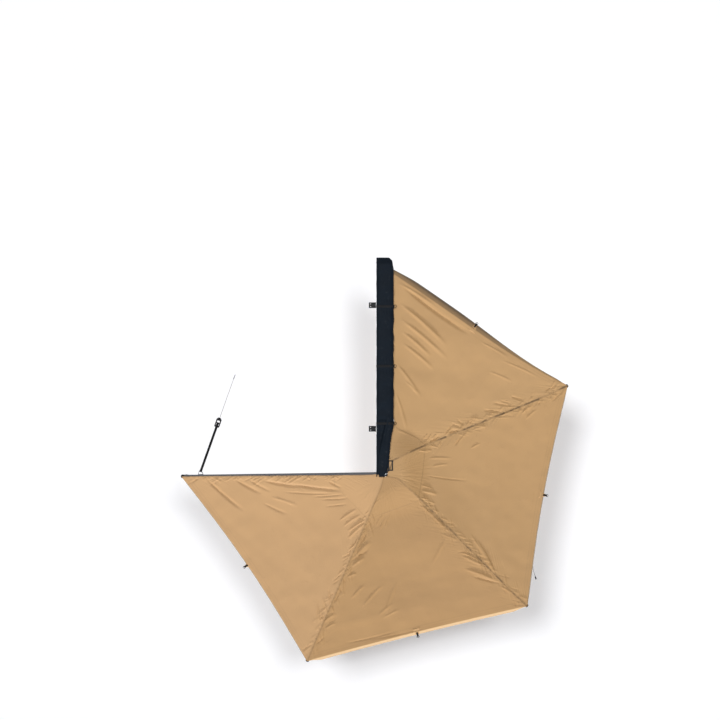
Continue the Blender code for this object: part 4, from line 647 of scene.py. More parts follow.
# Folds of each panel: ends in centimetres from the pivot, width and height in millimetres, a dip below 0
FOLDS = (
    (
        (16, 196, 94, 141, 23, -9), (12, 202, 58, 173, 16, 3), (16, 180, 68, 133, 23, 7),
        (16, 164, 70, 118, 22, 5), (18, 150, 50, 122, 19, 5), (18, 138, 54, 108, 19, 4),
        (12, 117, 40, 78, 20, 3), (12, 86, 24, 44, 16, 3), (21, 98, 37, 82, 14, 2),
        (108, 108, 136, 96, 13, 2), (100, 139, 132, 121, 12, 2), (121, 120, 163, 101, 12, 2),
        (102, 66, 126, 64, 15, -4), (112, 74, 136, 70, 14, -3), (121, 76, 134, 73, 12, -3),
        (132, 81, 146, 76, 13, -4), (76, 56, 84, 50, 13, -3), (70, 52, 81, 48, 13, -3),
        (40, 35, 45, 42, 9, 3), (44, 34, 50, 42, 9, 3), (49, 35, 55, 42, 9, 3), (46, 32, 59, 40, 17, -5),
        (66, 43, 78, 45, 15, -4), (20, 19, 30, 26, 12, 3), (12, 46, 34, 37, 10, 2),
        (168, 86, 180, 92, 10, -3),
    ),
    (
        (60, 31, 76, 40, 17, -6), (74, 28, 80, 40, 12, -4), (92, 46, 108, 50, 13, 3),
        (119, 60, 142, 71, 20, 7), (143, 62, 156, 73, 14, 5), (147, 56, 160, 68, 13, 4),
        (90, 26, 101, 32, 12, 3), (42, 24, 50, 24, 11, 2), (44, 16, 72, 16, 13, 2), (48, 7, 68, 10, 12, 2),
        (41, -3, 90, -9, 9, -3), (38, -18, 56, -22, 16, 7), (38, -12, 52, -17, 12, 5),
        (90, -62, 117, -107, 15, 4), (96, -67, 115, -104, 14, 4), (102, -76, 118, -107, 12, 3),
        (41, -28, 54, -32, 12, 2), (184, 80, 191, 90, 10, 3), (176, 75, 184, 84, 10, -3),
        (125, -116, 134, -124, 12, 3),
    ),
    (
        (39, -34, 52, -46, 17, 8), (50, -44, 66, -60, 17, 8), (82, -99, 119, -113, 20, 8),
        (90, -108, 121, -116, 14, -4), (80, -86, 106, -98, 17, 6), (79, -82, 101, -92, 13, 4),
        (26, -28, 35, -28, 10, -3), (0, -146, 13, -112, 18, 2), (48, -98, 66, -65, 20, 2),
        (-29, -80, -18, -60, 15, -6), (-32, -87, -14, -70, 19, 7), (-36, -93, -14, -78, 15, -4),
        (-36, -98, -20, -87, 18, 6), (-40, -109, -29, -104, 15, 5), (-65, -156, -51, -146, 16, 5),
        (-63, -163, -51, -156, 12, 4), (-36, -132, -21, -116, 15, 3), (-24, -140, -1, -115, 15, 3),
        (-8, -150, 10, -135, 14, 2), (-2, -152, 16, -142, 13, 2), (-10, -56, -2, -42, 11, 3),
        (-6, -60, 2, -44, 11, 3), (0, -58, 5, -42, 10, 2), (-14, -36, -6, -26, 11, 3),
        (-44, -180, 16, -166, 12, -2), (-16, -176, 50, -162, 11, -2), (121, -118, 134, -126, 12, 3),
        (-54, -137, -45, -120, 15, -5),
    ),
    (
        (-190, -4, -146, -42, 19, -6), (-158, -6, -128, -22, 19, -4), (-144, -6, -118, -20, 16, -3),
        (-129, -8, -84, -15, 20, -6), (-100, -12, -40, -19, 20, -8), (-60, -8, -44, -16, 14, -5),
        (-68, -28, -36, -26, 11, -3), (-78, -25, -40, -22, 11, -2), (-110, -20, -47, -22, 12, -2),
        (-63, -35, -38, -32, 11, -2), (-49, -50, -28, -36, 14, 4), (-45, -56, -24, -42, 13, 4),
        (-40, -61, -20, -48, 15, 6), (-40, -69, -19, -50, 18, 6), (-34, -78, -24, -64, 14, 3),
        (-24, -67, -16, -50, 13, -5), (-71, -135, -68, -160, 14, 2), (-58, -122, -56, -146, 13, 2),
        (-65, -129, -60, -150, 13, 2), (-120, -24, -89, -34, 16, 2), (-129, -31, -100, -44, 16, -2),
    ),
)
# Edge of the sewn hub patch in each panel, in centimetres from the pivot
PATCH_EDGES = (
    [(10, 60), (11.8, 48.1), (33.8, 37.1), (42.7, 29.2)],
    [(42.7, 29.2), (41.2, 14.0), (39.6, -1.8), (34.9, -29.1)],
    [(34.9, -29.1), (18.1, -34.9), (-18.2, -48.0)],
    [(-18.2, -48.0), (-31.3, -33.8), (-41.8, -23.8), (-52.3, -11.2), (-54.4, 0.0)],
)


def fold_height(x, y, folds, lift):
    """Height of sewn-in and pulled folds at points in metres from the pivot."""
    height = np.zeros_like(x)
    for x0, y0, x1, y1, wide, high in folds:
        a, way = np.array([x0, y0]) / 100, np.array([x1 - x0, y1 - y0]) / 100
        length = hypot(*way)
        way = way / length
        u = (x - a[0]) * way[0] + (y - a[1]) * way[1]
        v = (y - a[1]) * way[0] - (x - a[0]) * way[1]
        t = u / length
        v = v + 0.10 * length * (t - 0.5) ** 2 * (1 if high > 0 else -1)
        spread = wide / 1000 * (0.60 + 0.40 * t)
        ends = eased(t / 0.30) * eased((1 - t) / 0.35)
        steepest = 0.64 * wide
        height += steepest * np.tanh(lift * high / steepest) / 1000 * ends * np.exp(-((v / spread) ** 2))
    return height


def puckers(n, sign, seed):
    """Short slanting folds along the seam of arm n, on one side of it."""
    chance = np.random.default_rng(seed)
    along, ahead = arm_ways(n)
    made = []
    for radius in np.arange(PUCKER_START, ARM_LENGTHS[n] - 0.10, PUCKER_STEP):
        radius += chance.uniform(-0.02, 0.02)
        if chance.random() < 0.15:
            continue
        foot = along * radius + ahead * (seam_ahead(n, radius) + sign * 0.012)
        lean = radians(chance.uniform(22, 42))
        way = along * cos(lean) * (1 if chance.random() < 0.85 else -1) + ahead * sign * sin(lean)
        end = foot + way * chance.uniform(0.05, 0.13 if chance.random() < 0.7 else 0.24)
        wide, high = chance.uniform(6, 11), chance.uniform(0.6, 2.2) * PUCKER_LIFT[n]
        high *= 1 if chance.random() < 0.7 else -1
        made.append((*(foot * 100), *(end * 100), wide, high))
    return made


def edge_distance(x, y, line):
    """Signed distance to a line of points, above 0 on the pivot's side."""
    nearest, sign = np.full_like(x, 9.0), np.ones_like(x)
    for (x0, y0), (x1, y1) in zip(line[:-1], line[1:]):
        a, way = np.array([x0, y0]) / 100, np.array([x1 - x0, y1 - y0]) / 100
        t = np.clip(((x - a[0]) * way[0] + (y - a[1]) * way[1]) / (way @ way), 0, 1)
        away = np.hypot(x - a[0] - t * way[0], y - a[1] - t * way[1])
        side = (y - a[1]) * way[0] - (x - a[0]) * way[1]
        own = -a[1] * way[0] + a[0] * way[1]
        closer = away < nearest
        nearest, sign = np.where(closer, away, nearest), np.where(closer, np.sign(side * own), sign)
    return nearest * sign


def broad_folds(n, s, reach):
    """Height of a panel's main folds, as in the part."""
    far = eased((reach - 0.45) / 0.5) * eased((2.12 - reach) / 0.10) * np.sin(pi * s)
    if n == 0:
        return 0.005 * far * np.sin(2 * pi * (reach * 1.55 - 1.1 * s)) * (1 - 0.6 * s)
    if n == 3:
        return 0.010 * far * np.sin(2 * pi * (reach * 1.3 + 1.2 * s)) * (0.3 + 0.7 * s)
    return 0.006 * far * np.sin(2 * pi * (reach * 1.1 + (n - 1.5) * s))


def hem_width(n, s):
    """Share of the hem's full width along an outer edge."""
    ends = eased(s / 0.06) * eased((1 - s) / 0.06)
    if n == 0:
        return ends * (0.45 + 0.55 * eased(s / 0.2)) * (1 - 0.85 * eased((s - 0.40) / 0.55))
    return ends


THREAD_HEIGHT, THREAD_PITCH, THREAD_REACH = 0.0011, 0.052, 0.016


def seam_wave(n, reach, past):
    """Height of the small waves that its thread draws into the seam of arm n."""
    wave = 1 + np.sin(2 * pi * reach / THREAD_PITCH + 1.7 * n)
    return THREAD_HEIGHT * wave * np.exp(-((past / THREAD_REACH) ** 2))


NEAR_ROWS, FAR_ROWS, HEM_ROWS, COLUMNS = 48, 240, 9, 230
NEAR_REACH = 0.34
REACH_ALL = ARM_LENGTHS[0] - TIP_SHOWN - CANOPY_HOLE
WAVES, WAVE_HEIGHT = 26, 0.00030
ABOVE_PART, PATCH_HEIGHT, HEM_LEAST = 0.0015, 0.0012, 0.007
edges = []


def canopy_panel(n):
    """One panel of the canopy, with its folds and hem."""
    far_steps = np.linspace(NEAR_REACH, REACH_ALL, FAR_ROWS)[1:]
    steps = np.concatenate([np.linspace(0.0, NEAR_REACH, NEAR_ROWS), far_steps])
    share, radius, reach = steps / REACH_ALL, CANOPY_HOLE + steps, steps[:, None]
    a = seam_line(n - 1, share) if n else clamped_line(share)
    b = seam_line(n, share)
    way = b - a
    t = np.linspace(0, 1, COLUMNS + 1)
    s = (0.62 * t + 0.38 * (1 - np.cos(pi * t)) / 2)[None, :]

    def flat_share(arm, wide):
        """Share of the panel's width that lies flat over an arm."""
        return np.minimum(wide / np.maximum(abs(way[:, :2] @ arm_ways(arm)[1]), 1e-6), 0.3)

    if n:
        first = flat_share(n - 1, ARM_FLAT + seam_ahead(n - 1, radius))
    else:
        first = np.minimum(0.008 / np.maximum(abs(way[:, 0]), 1e-6), 0.2)
    last = flat_share(n, np.maximum(ARM_FLAT - seam_ahead(n, radius), 0.008))
    inner = np.clip((s - first[:, None]) / (1 - first - last)[:, None], 0, 1)
    outward = np.column_stack([-way[:, 1], way[:, 0]])
    outward /= np.linalg.norm(outward, axis=1, keepdims=True)
    middle = (a + b)[:, :2] / 2 - np.array([HUB_X, HUB_Y])
    outward *= np.sign((outward * middle).sum(axis=1, keepdims=True))
    drawn = DRAWN_IN[n] * np.sin(pi * s ** DRAWN_POWER[n]) * share[:, None] ** 2
    x = a[:, :1] + way[:, :1] * s - outward[:, :1] * drawn
    y = a[:, 1:2] + way[:, 1:2] * s - outward[:, 1:2] * drawn
    level = a[:, 2:] + way[:, 2:] * inner
    bowl = eased((reach - PLATEAU_RADIUS) / 1.2)
    z = level - CANOPY_SAG * np.sin(pi * inner) * bowl + broad_folds(n, inner, reach)

    px, py = x - HUB_X, y - HUB_Y
    from_first = -past_seam(n - 1, px, py) if n else x - EDGE_X + 0.03
    from_second = past_seam(n, px, py)
    near, to_ridge = np.minimum(from_first, from_second), REACH_ALL - reach + 0 * s
    folds = list(FOLDS[n]) + puckers(n, 1, 40 + n) + (puckers(n - 1, -1, 60 + n) if n else [])
    fade = eased(near / 0.016) * eased(to_ridge / 0.03) * eased((reach - 0.10) / 0.08)
    z = z + fold_height(px, py, folds, FOLD_LIFT[n]) * fade
    chance = np.random.default_rng(7 + n)
    for _ in range(WAVES):
        heading, pitch = chance.uniform(0, 2 * pi), chance.uniform(0.09, 0.34)
        phase = chance.uniform(0, 2 * pi)
        wave = np.sin(2 * pi * (px * cos(heading) + py * sin(heading)) / pitch + phase)
        z = z + WAVE_HEIGHT * (pitch / 0.2) * wave * eased(near / 0.08) * bowl
    waves = seam_wave(n, reach, from_second) + (seam_wave(n - 1, reach, from_first) if n else 0)
    z = z + waves * eased((reach - 0.25) / 0.1) * eased(to_ridge / 0.06)
    in_patch = edge_distance(px, py, PATCH_EDGES[n])
    z = z + PATCH_HEIGHT * eased((in_patch + 0.004) / 0.008)
    resting = (inner <= 0.0) | (inner >= 1.0) | (reach < 0.20)
    top = np.stack([x, y, np.where(resting, np.maximum(z, level), z) + ABOVE_PART], axis=2)

    hem = hem_width(n, inner[-1])
    out = HEM_LEAST + (HEM_OUT[n] - HEM_LEAST) * hem
    down = VALANCE_DROP * hem * (1 + 0.05 * np.sin(2 * pi * s[0] * 9 + n))
    parts = np.linspace(0, 1, HEM_ROWS + 1)[1:, None]
    hem_rows = np.repeat(top[-1:], HEM_ROWS, 0)
    hem_rows[:, :, :2] += outward[-1] * (out * parts**0.85)[:, :, None]
    hem_rows[:, :, 2] -= down * parts**1.15

    measures = {"from_first": from_first, "from_second": from_second, "in_patch": in_patch}
    measures["reach"] = CANOPY_HOLE + reach + 0 * s
    for measure, values in measures.items():
        measures[measure] = np.concatenate([values, np.repeat(values[-1:], HEM_ROWS, 0)])
    measures["from_edge"] = np.concatenate([to_ridge, -np.hypot(out, down) * parts])
    full = np.concatenate([top, hem_rows])
    piece = cloth(f"canopy_{n + 1}", full, CLOTH, TAN[n], (0, 0, 1), measures)
    rest = piece.data.attributes.new("rest_place", "FLOAT_VECTOR", "POINT")
    rest.data.foreach_set("vector", np.array([v.co for v in piece.data.vertices], np.float32).ravel())
    weights = s[0] - 0.03 * np.sin(pi * s[0])
    blended(piece, np.tile(weights, 2 * len(full)), f"canopy_panel_{n + 1}")
    edges.append((top[-1], hem_rows[-1], weights, outward[-1]))
    return piece


panels = [canopy_panel(n) for n in range(4)]

# Tabs at the outer edges: their places in centimetres from the pivot, and the line of a tab's webbing
TAB_PLACES = ((94.5, 154), (169, -23), (34, -167), (-146.5, -98))
TAB_LINE = (
    (-0.030, 0.0095), (-0.015, 0.0072), (0.0, 0.0030), (0.012, 0.0),
    (0.016, -0.004), (0.012, -0.008), (0.0, -0.008),
)


def edge_tab(n, at):
    """Reinforcing triangle and webbing tab with its bar at a point of an outer edge."""
    ridge, hem, weights, outward = edges[n]
    column = int(np.argmin(np.hypot(ridge[:, 0] - HUB_X - at[0] / 100, ridge[:, 1] - HUB_Y - at[1] / 100)))
    root, fall = ridge[column], hem[column] - ridge[column]
    out, side = np.array([outward[0], outward[1], 0.0]), np.array([-outward[1], outward[0], 0.0])
    reach = max(0.030, hypot(fall[0], fall[1]) * 0.5 + 0.02)
    start, corner = root - out * 0.035, root + out * reach - (0, 0, 0.012)
    v, u = np.linspace(0, 1, 9)[:, None, None], np.linspace(-1, 1, 9)[None, :, None]
    grid = start + (corner - start) * v + side * (0.040 * (1 - v) + 0.010 * v) * u
    grid[:, :, 2] = np.linspace(root[2] + 0.0022, corner[2] + 0.0022, 9)[:, None]
    triangle = cloth(f"canopy_gusset_{n + 1}", grid, CLOTH, TAN_TRIM)
    line = [corner + out * ahead + (0, 0, rise) for ahead, rise in TAB_LINE]
    strap = ribbon(f"canopy_tab_{n + 1}", line, side, 0.020)
    turns = np.linspace(0, 2 * pi, 25)[:-1]
    bar_at = corner + out * 0.012 - (0, 0, 0.004)
    ring = [bar_at + side * 0.013 * np.cos(a) + out * (0.010 * np.sin(a) + 0.006) for a in turns]
    bar = tube(f"canopy_ring_{n + 1}", ring + ring[:1], RING_WIRE, 8, BLACK_PLASTIC)
    for piece in (triangle, strap, bar):
        blended(piece, float(weights[column]), f"canopy_panel_{n + 1}")
    return [triangle, strap, bar]


tabs = [edge_tab(n, at) for n, at in enumerate(TAB_PLACES)]

# Cover, its straps and its zip


def smooth_line(points, count):
    """Evenly spaced points of a smooth curve through the given ones."""
    p = np.asarray(points, float)
    p = np.concatenate([2 * p[:1] - p[1:2], p, 2 * p[-1:] - p[-2:-1]])
    t = np.linspace(0, 1, 12, endpoint=False)[:, None]
    runs = []
    for a, b, c, d in zip(p[:-3], p[1:-2], p[2:-1], p[3:]):
        bent, twisted = 2 * a - 5 * b + 4 * c - d, 3 * b - a - 3 * c + d
        runs.append(0.5 * (2 * b + (c - a) * t + bent * t**2 + twisted * t**3))
    line = np.concatenate(runs + [p[-2:-1]])
    lengths = run_lengths(line)
    even = np.linspace(0, lengths[-1], count)
    return np.column_stack([np.interp(even, lengths, line[:, k]) for k in range(line.shape[1])])


def left_of(line):
    """Unit vectors to the left of a flat line at each of its points."""
    way = np.gradient(line, axis=0)
    out = np.column_stack([-way[:, 1], way[:, 0]])
    return out / np.linalg.norm(out, axis=1, keepdims=True)


def cover_edge(y):
    """How far the cover reaches outwards at y."""
    places = (COVER_REAR, -1.071, -0.934, -0.735, -0.620, 1.030, 1.115, COVER_FRONT)
    reaches = (0.0824, 0.1204, 0.1364, 0.1577, COVER_WIDTH, COVER_WIDTH, 0.1657, 0.1377)
    return float(np.interp(y, places, reaches))


def cover_lip(y):
    """Height of the lower edge of the cover's outer side."""
    return COVER_LIP + 0.016 * eased((-0.620 - y) / 0.20) + 0.0133 * eased((-0.916 - y) / 0.12)


def from_strap(y):
    """Distance along the rail to the nearest stow strap."""
    return min(abs(y - place) for place in STRAP_PLACES)


def cover_section(y):
    """The cover's section at y, from its groove over the top to its lip, as (x, z)."""
    crown = CROWN + 0.006 * eased((from_strap(y) - STRAP_CLEAR - 0.005) / 0.14)
    edge, lip = cover_edge(y), cover_lip(y)
    low = GROOVE_FLOOR if abs(y) <= GROOVE_END else 0.078
    if y > RAIL_END:
        crown = CROWN - 0.020 * eased((y - RAIL_END) / 0.054)
    top, drop = crown - RAIL_TOP, crown - lip
    inner = GROOVE_X + 0.030
    span = edge - inner
    groove = [(GROOVE_X, low), (GROOVE_X, RAIL_TOP + 0.005)]
    back = [(GROOVE_X - 0.003, RAIL_TOP + 0.35 * top), (GROOVE_X + 0.007, RAIL_TOP + 0.78 * top)]
    over = [(inner, crown - 0.002), (inner + 0.30 * span, crown), (inner + 0.58 * span, crown - 0.002)]
    side = [(inner + 0.80 * span, crown - 0.10 * drop - 0.001), (inner + 0.94 * span, crown - 0.35 * drop)]
    return groove + back + over + side + [(edge, crown - 0.68 * drop), (edge, lip)]


GIRTH, COVER_PLACES, REAR_ROWS, COVER_ROWS = 76, 560, 90, 410
REAR_SHARE = 0.10
FOLD_FRONT, FOLD_REAR = (0.1187, -0.530), (0.002, -1.055)
FOLD_SUNK, FOLD_RIDGE = 0.0135, 0.0035
COVER_WAVE_HEIGHT, GATHER_HEIGHT, GATHER_PITCH = 0.00042, 0.0013, 0.031
chance = np.random.default_rng(21)
COVER_WAVES = []
for _ in range(34):
    COVER_WAVES.append((chance.uniform(0.05, 0.30), chance.uniform(-0.9, 0.9), chance.uniform(0, 2 * pi)))


def cover_relief(x, y, girth):
    """How far the cover's cloth stands out of its smooth shape."""
    clear = eased((np.array([from_strap(v) for v in y.ravel()]).reshape(y.shape) - 0.020) / 0.06)
    free = clear * eased(girth / 0.05)
    relief = 0 * x
    for pitch, lean, phase in COVER_WAVES:
        wave = np.sin(2 * pi * (y + lean * girth) / pitch + phase)
        relief += COVER_WAVE_HEIGHT * (pitch / 0.15) ** 0.8 * wave
    for place in STRAP_PLACES:
        beside = np.exp(-((abs(y - place) - 0.045) / 0.035) ** 2)
        relief += GATHER_HEIGHT * np.sin(2 * pi * girth / GATHER_PITCH + place * 9) * beside
    fold_x = np.interp(-y, (-FOLD_FRONT[1], -FOLD_REAR[1]), (FOLD_FRONT[0], FOLD_REAR[0]))
    behind = eased((-0.47 - y) / 0.16) * eased((y + 1.115) / 0.05)
    sunk = eased((fold_x - x) / 0.016) * eased((x - 0.004) / 0.022)
    ridge = np.exp(-(((x - fold_x - 0.012) / 0.011) ** 2))
    fold = (FOLD_RIDGE * ridge - FOLD_SUNK * sunk) * behind * eased((girth - 0.045) / 0.03)
    return relief * free + fold


def cover_upper():
    """The cover's upper half, gathered by its straps and folded over at its rear."""
    places = np.linspace(COVER_REAR, COVER_FRONT, COVER_PLACES)
    lines = np.array([smooth_line(cover_section(y), GIRTH) for y in places])
    outs = np.array([left_of(line) for line in lines])
    girth = np.array([run_lengths(line) for line in lines])
    relief = cover_relief(lines[:, :, 0], np.repeat(places[:, None], GIRTH, 1), girth)
    flat = lines + outs * (relief + COVER_CLOTH / 2)[:, :, None]
    middle = np.median(flat[:, :, 0], axis=0)
    ragged = 0.026 * eased((middle - 0.016) / 0.020) * eased((0.086 - middle) / 0.018)
    rear = COVER_REAR + ragged + 0.0015 * np.sin(np.arange(GIRTH) * 0.45)
    rear[:4] = COVER_REAR
    rear = np.maximum(rear, COVER_REAR)
    near_ends, far_ends = np.linspace(0, REAR_SHARE, REAR_ROWS), np.linspace(REAR_SHARE, 1, COVER_ROWS)
    ends = np.concatenate([near_ends, far_ends[1:]])
    top = np.empty((len(ends), GIRTH, 3))
    around = np.empty((len(ends), GIRTH))
    for j in range(GIRTH):
        at = rear[j] + (COVER_FRONT - rear[j]) * ends
        x, z = (np.interp(at, places, flat[:, j, k]) for k in range(2))
        top[:, j] = np.column_stack([x, at, z])
        around[:, j] = np.interp(at, places, girth[:, j])
    measures = {"girth": around, "to_lip": around[:, -1:] - around}
    made = cloth("cover_upper_cloth", top, COVER_CLOTH, NAVY, (0, 0, 1), measures)
    return fixed_to("case", made, "cover_upper"), top


def rim_points(grid):
    """Points of the cloth's middle along its rear end, its lip and its front end."""
    normal = square_to_grid(grid)
    normal *= np.sign(normal[:, :, 2].mean())
    middle = grid - normal * COVER_CLOTH / 2
    return np.concatenate([middle[0, 4:], middle[1:, -1], middle[-1, -2:3:-1]])


def edge_binding(name, line, node):
    """Woven tape bound round an edge of the cover."""
    return fixed_to("case", tube(name, line, BINDING, 8, NAVY_TRIM), node)


def zip_coil(name, line, part, turns, across, rise, node):
    """The coil of one half of the zip, sewn to the cover along a part of a line."""
    a = np.linspace(0, 2 * pi * turns, turns * 8 + 1)
    at = np.linspace(*part, len(a)) * (len(line) - 1)
    path = np.column_stack([np.interp(at, range(len(line)), line[:, k]) for k in range(3)])
    path += np.column_stack([across * np.cos(a), 0 * a, rise * np.sin(a)])
    return fixed_to("case", tube(name, path, COIL_WIRE, 5, ZIP_COIL), node)


COIL_WIRE, COIL_WIDE, COIL_HIGH = 0.00055, 0.0019, 0.0011
COIL_X, COIL_Z = COVER_WIDTH - 0.0034, COVER_LIP + 0.0022
UPPER_TURNS, LOWER_TURNS = 385, 500
cover, cover_face = cover_upper()
binding = edge_binding("cover_binding", rim_points(cover_face)[::2], "cover_upper")
coil_line = np.array([(COIL_X, -0.600, COIL_Z), (COIL_X, 1.020, COIL_Z)])
coil_upper = zip_coil("zip_coil_upper", coil_line, (0, 1), UPPER_TURNS, COIL_WIDE, COIL_HIGH, "cover_upper")

FLAP_FOOT = -(RAIL_TOP + COVER_DROP)
FLAP_SWINGS = [0.006 * sin(3.1 * k) for k in range(19)]
FLAP_ROWS, FLAP_COLUMNS, FLAP_WAVES, FLAP_WAVE_HEIGHT = 300, 34, 16, 0.0009


def cover_lower():
    """The cover's lower half, hanging loose below the rail."""
    grid = []
    for y in np.linspace(-GROOVE_END, GROOVE_END, FLAP_ROWS):
        place = (y + GROOVE_END) / (2 * GROOVE_END) * 18
        swing = np.interp(place, range(19), FLAP_SWINGS)
        line = [(GROOVE_X, -GROOVE_FLOOR), (GROOVE_X, -0.081), (0.0115, -0.1125)]
        line += [(0.0195 + swing, -0.15625), (0.0275 + 2 * swing, FLAP_FOOT)]
        grid.append(np.insert(smooth_line(line, FLAP_COLUMNS), 1, y, axis=1))
    grid = np.array(grid)
    fall = -(grid[:, :, 2] + GROOVE_FLOOR)
    free = eased((fall - 0.014) / 0.06)
    chance = np.random.default_rng(33)
    for _ in range(FLAP_WAVES):
        pitch, lean = chance.uniform(0.07, 0.34), chance.uniform(-0.5, 0.5)
        phase = chance.uniform(0, 2 * pi)
        wave = np.sin(2 * pi * (grid[:, :, 1] + lean * fall) / pitch + phase)
        grid[:, :, 0] += FLAP_WAVE_HEIGHT * (pitch / 0.15) * wave * free
    face = grid + [COVER_CLOTH / 2, 0, 0]
    measures = {"girth": fall, "to_lip": -FLAP_FOOT - GROOVE_FLOOR - fall}
    made = cloth("cover_lower_cloth", face, COVER_CLOTH, NAVY, (1, 0, 0), measures)
    fixed_to("case", made, "cover_lower")
    hem = edge_binding("cover_lower_binding", grid[::2, -1], "cover_lower")
    line = face[:, -4] + [0.0012, 0, 0]
    coil = zip_coil("zip_coil_lower", line, (0.02, 0.98), LOWER_TURNS, 0.0009, COIL_WIDE, "cover_lower")
    return made, hem, coil


flap, flap_hem, flap_coil = cover_lower()

# Where the stow webbing turns round its ring's bar, in degrees
RING_TURNS = (42, 12, -20, -52, -84, -116, -148, -178)


def stow_strap(name, place):
    """Webbing over the cover, turned round the bar of its ring."""
    line = smooth_line(cover_section(place), 90)
    line = line + left_of(line) * (COVER_CLOTH / 2 + SEAT + STRAP_THICKNESS / 2)
    bar_x = COVER_WIDTH + COVER_CLOTH / 2 + STRAP_THICKNESS + 2 * SEAT + RING_WIRE
    bar = np.array([bar_x, COVER_LIP + 0.004 + RING_WIRE])
    round_bar = RING_WIRE + SEAT + STRAP_THICKNESS / 2
    line = [p for p in line[6:] if not (p[0] > 0.17 and p[1] < bar[1] + 0.0165)]
    line += [bar + (-0.0022, 0.0135), bar + (-0.0002, 0.0098), bar + (0.0021, 0.0062)]
    line += [bar + np.array([cos(radians(turn)), sin(radians(turn))]) * round_bar for turn in RING_TURNS]
    line += [bar + (-round_bar, 0.003), bar + (-round_bar, 0.0065)]
    line = np.insert(smooth_line(np.array(line), 130), 1, place, axis=1)
    fixed_to("case", ribbon(f"stow_webbing_{name}", line, (0, 1, 0), STRAP_WIDTH), f"stow_strap_{name}")


for name, place in zip(("front", "middle", "rear"), STRAP_PLACES):
    stow_strap(name, place)

# Tie-down and guy line

TIE_START = Vector((-1.83808, -1.09495, 0.0502))
TIE_AIM = Matrix.Rotation(radians(71.03252), 3, "Z") @ Matrix.Rotation(radians(14.23909), 3, "Y")
LOOP = 0.00536
BUCKLE_FROM, BUCKLE_TO, TIE_END = 0.5053, 0.6103, 1.0585
TIE_CORD, GUY_CORD = 0.005, 0.004


def on_tie(points):
    """Points of the tie-down's own frame, x along it, in the row frame."""
    return np.array([TIE_START + TIE_AIM @ Vector(p) for p in points])


def through_buckle(points):
    """Points given from the buckle's start and the webbing's height, in the tie-down's own frame."""
    return [(BUCKLE_FROM + x, z - LOOP) for x, z in points]


def webbing_line():
    """The tie-down's webbing: its sewn end, its loop round the anchor and its way into the buckle."""
    line = [(0.052, -LOOP + 0.0020), (0.040, -LOOP + 0.0020), (0.026, -LOOP + 0.0020), (0.012, 0.0022)]
    line += [(LOOP * cos(a), LOOP * sin(a)) for a in (radians(turn) for turn in range(60, 271, 30))]
    line += [(0.020, -LOOP), (0.060, -LOOP)]
    line += [(x, -LOOP - 0.0006 * sin(x * 11)) for x in np.linspace(0.10, 0.44, 12)]
    line += through_buckle([(-0.0353, 0.0), (-0.0173, 0.0016), (-0.0053, 0.0058), (0.005, 0.0081)])
    line += through_buckle([(0.014, 0.0080), (0.024, 0.0042), (0.033, -0.0022), (0.040, -0.0053)])
    return line + through_buckle([(0.047, -0.0056), (0.0525, -0.0030), (0.0530, 0.0020)])


def tail_line():
    """The webbing's tail: from the buckle's bar back over the buckle to its sewn end."""
    line = through_buckle([(0.0530, 0.0020), (0.0485, 0.0054), (0.040, 0.0062), (0.027, 0.0086)])
    line += through_buckle([(0.014, 0.0102), (0.004, 0.0104), (-0.0073, 0.0088), (-0.0193, 0.0050)])
    return line + through_buckle([(-0.0313, 0.0026), (-0.0453, 0.0022), (-0.0593, 0.0020)])


def tie_ribbon(name, line, count):
    """Webbing of the tie-down along a line of its own frame, and its path."""
    path = on_tie([(x, 0.0, z) for x, z in smooth_line(line, count)])
    piece = ribbon(name, path, np.array(TIE_AIM @ Vector((0, 1, 0))), STRAP_WIDTH, 13)
    return fixed_to("tie_down", piece, "tie_strap"), path


tie_webbing, tie_path = tie_ribbon("tie_webbing", webbing_line(), 300)
tie_tail = tie_ribbon("tie_tail", tail_line(), 70)[0]

cord_start = BUCKLE_TO + SEAT
cord_length = TIE_END - cord_start
cord_shares = np.linspace(0, 1, 40)
cord_path = on_tie([(cord_start + cord_length * t, 0, -LOOP - 0.002 * sin(pi * t)) for t in cord_shares])
tie_cord = braided_tube("tie_cord", smooth_line(cord_path, 240), TIE_CORD / 2, GREY_CORD)
fixed_to("tie_down", tie_cord, "strap_cord")

HANG = np.array([1.65216, -2.1067, -0.0870])
AWAY = np.array([0.30, -0.95, 0.0]) / hypot(0.30, 0.95)
GUY_OUT, GUY_DROP = 0.118, 0.150
KNOT_TURNS, KNOT_RADIUS, KNOT_LENGTH = 3, 0.0042, 0.010


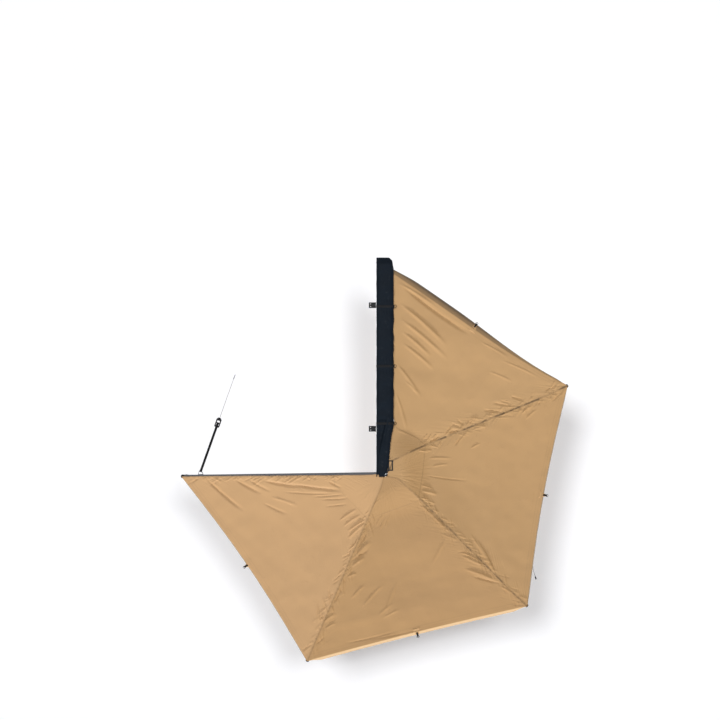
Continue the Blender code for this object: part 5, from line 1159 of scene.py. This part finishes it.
def guy_weight():
    """Share of arm_2 in the canopy's motion where the guy line hangs."""
    hem, weights = edges[1][1:3]
    return float(weights[int(np.argmin(np.linalg.norm(hem - HANG, axis=1)))])


def guy_knot():
    """The knot at the line's upper end, its turns one below the other."""
    line = []
    for t in np.linspace(0, 1, 60):
        a = 2 * pi * KNOT_TURNS * t
        line.append(HANG + (KNOT_RADIUS * cos(a), KNOT_RADIUS * sin(a), -0.0035 - KNOT_LENGTH * t))
    return braided_tube("guy_knot", line, 0.0019, BLACK_CORD)


def guy_slider(end, way):
    """Ribbed tensioner at the line's end, from lengths along it and its radius there."""
    profile = [(0.0002, 0.001), (0.0004, 0.0036), (0.0012, 0.0046), (0.0055, 0.0072), (0.0075, 0.0075)]
    profile += [(0.0085 + 0.002 * k, 0.0075 - 0.0008 * (k % 2)) for k in range(9)]
    profile += [(0.0265, 0.0074), (0.0300, 0.0054), (0.0317, 0.0042), (0.0320, 0.001)]
    path = [end + way * length for length, _ in profile]
    return tube("guy_slider", path, [radius for _, radius in profile], 20, BLACK_PLASTIC)


def guy_point(t):
    """Point of the guy line between its knot, at 0, and its lower end, at 1."""
    return HANG + AWAY * GUY_OUT * t**1.4 - np.array([0, 0, GUY_DROP * sin(t * pi / 2) ** 1.1])


guy_path = [guy_point(t) for t in np.linspace(0, 1, 33)]
guy = braided_tube("guy_cord", smooth_line(guy_path, 120), GUY_CORD / 2, BLACK_CORD)
knot = guy_knot()
end, way = guy_path[-1], guy_path[-1] - guy_path[-2]
tensioner = guy_slider(end, way / np.linalg.norm(way))
for piece, node in ((guy, "guy_line"), (knot, "guy_line"), (tensioner, "guy_tensioner")):
    blended(piece, guy_weight(), node)

# Flat width, length and area of each panel's cloth
CUTS = ((2.44, 2.20, 2.29), (2.42, 2.20, 2.21), (2.46, 2.20, 2.30), (2.42, 2.20, 2.22))
for n, (piece, (width, length, area)) in enumerate(zip(panels, CUTS)):
    supports = [f"arm_{n}_channel" if n else "canopy_clamp_bar", f"arm_{n + 1}_channel"]
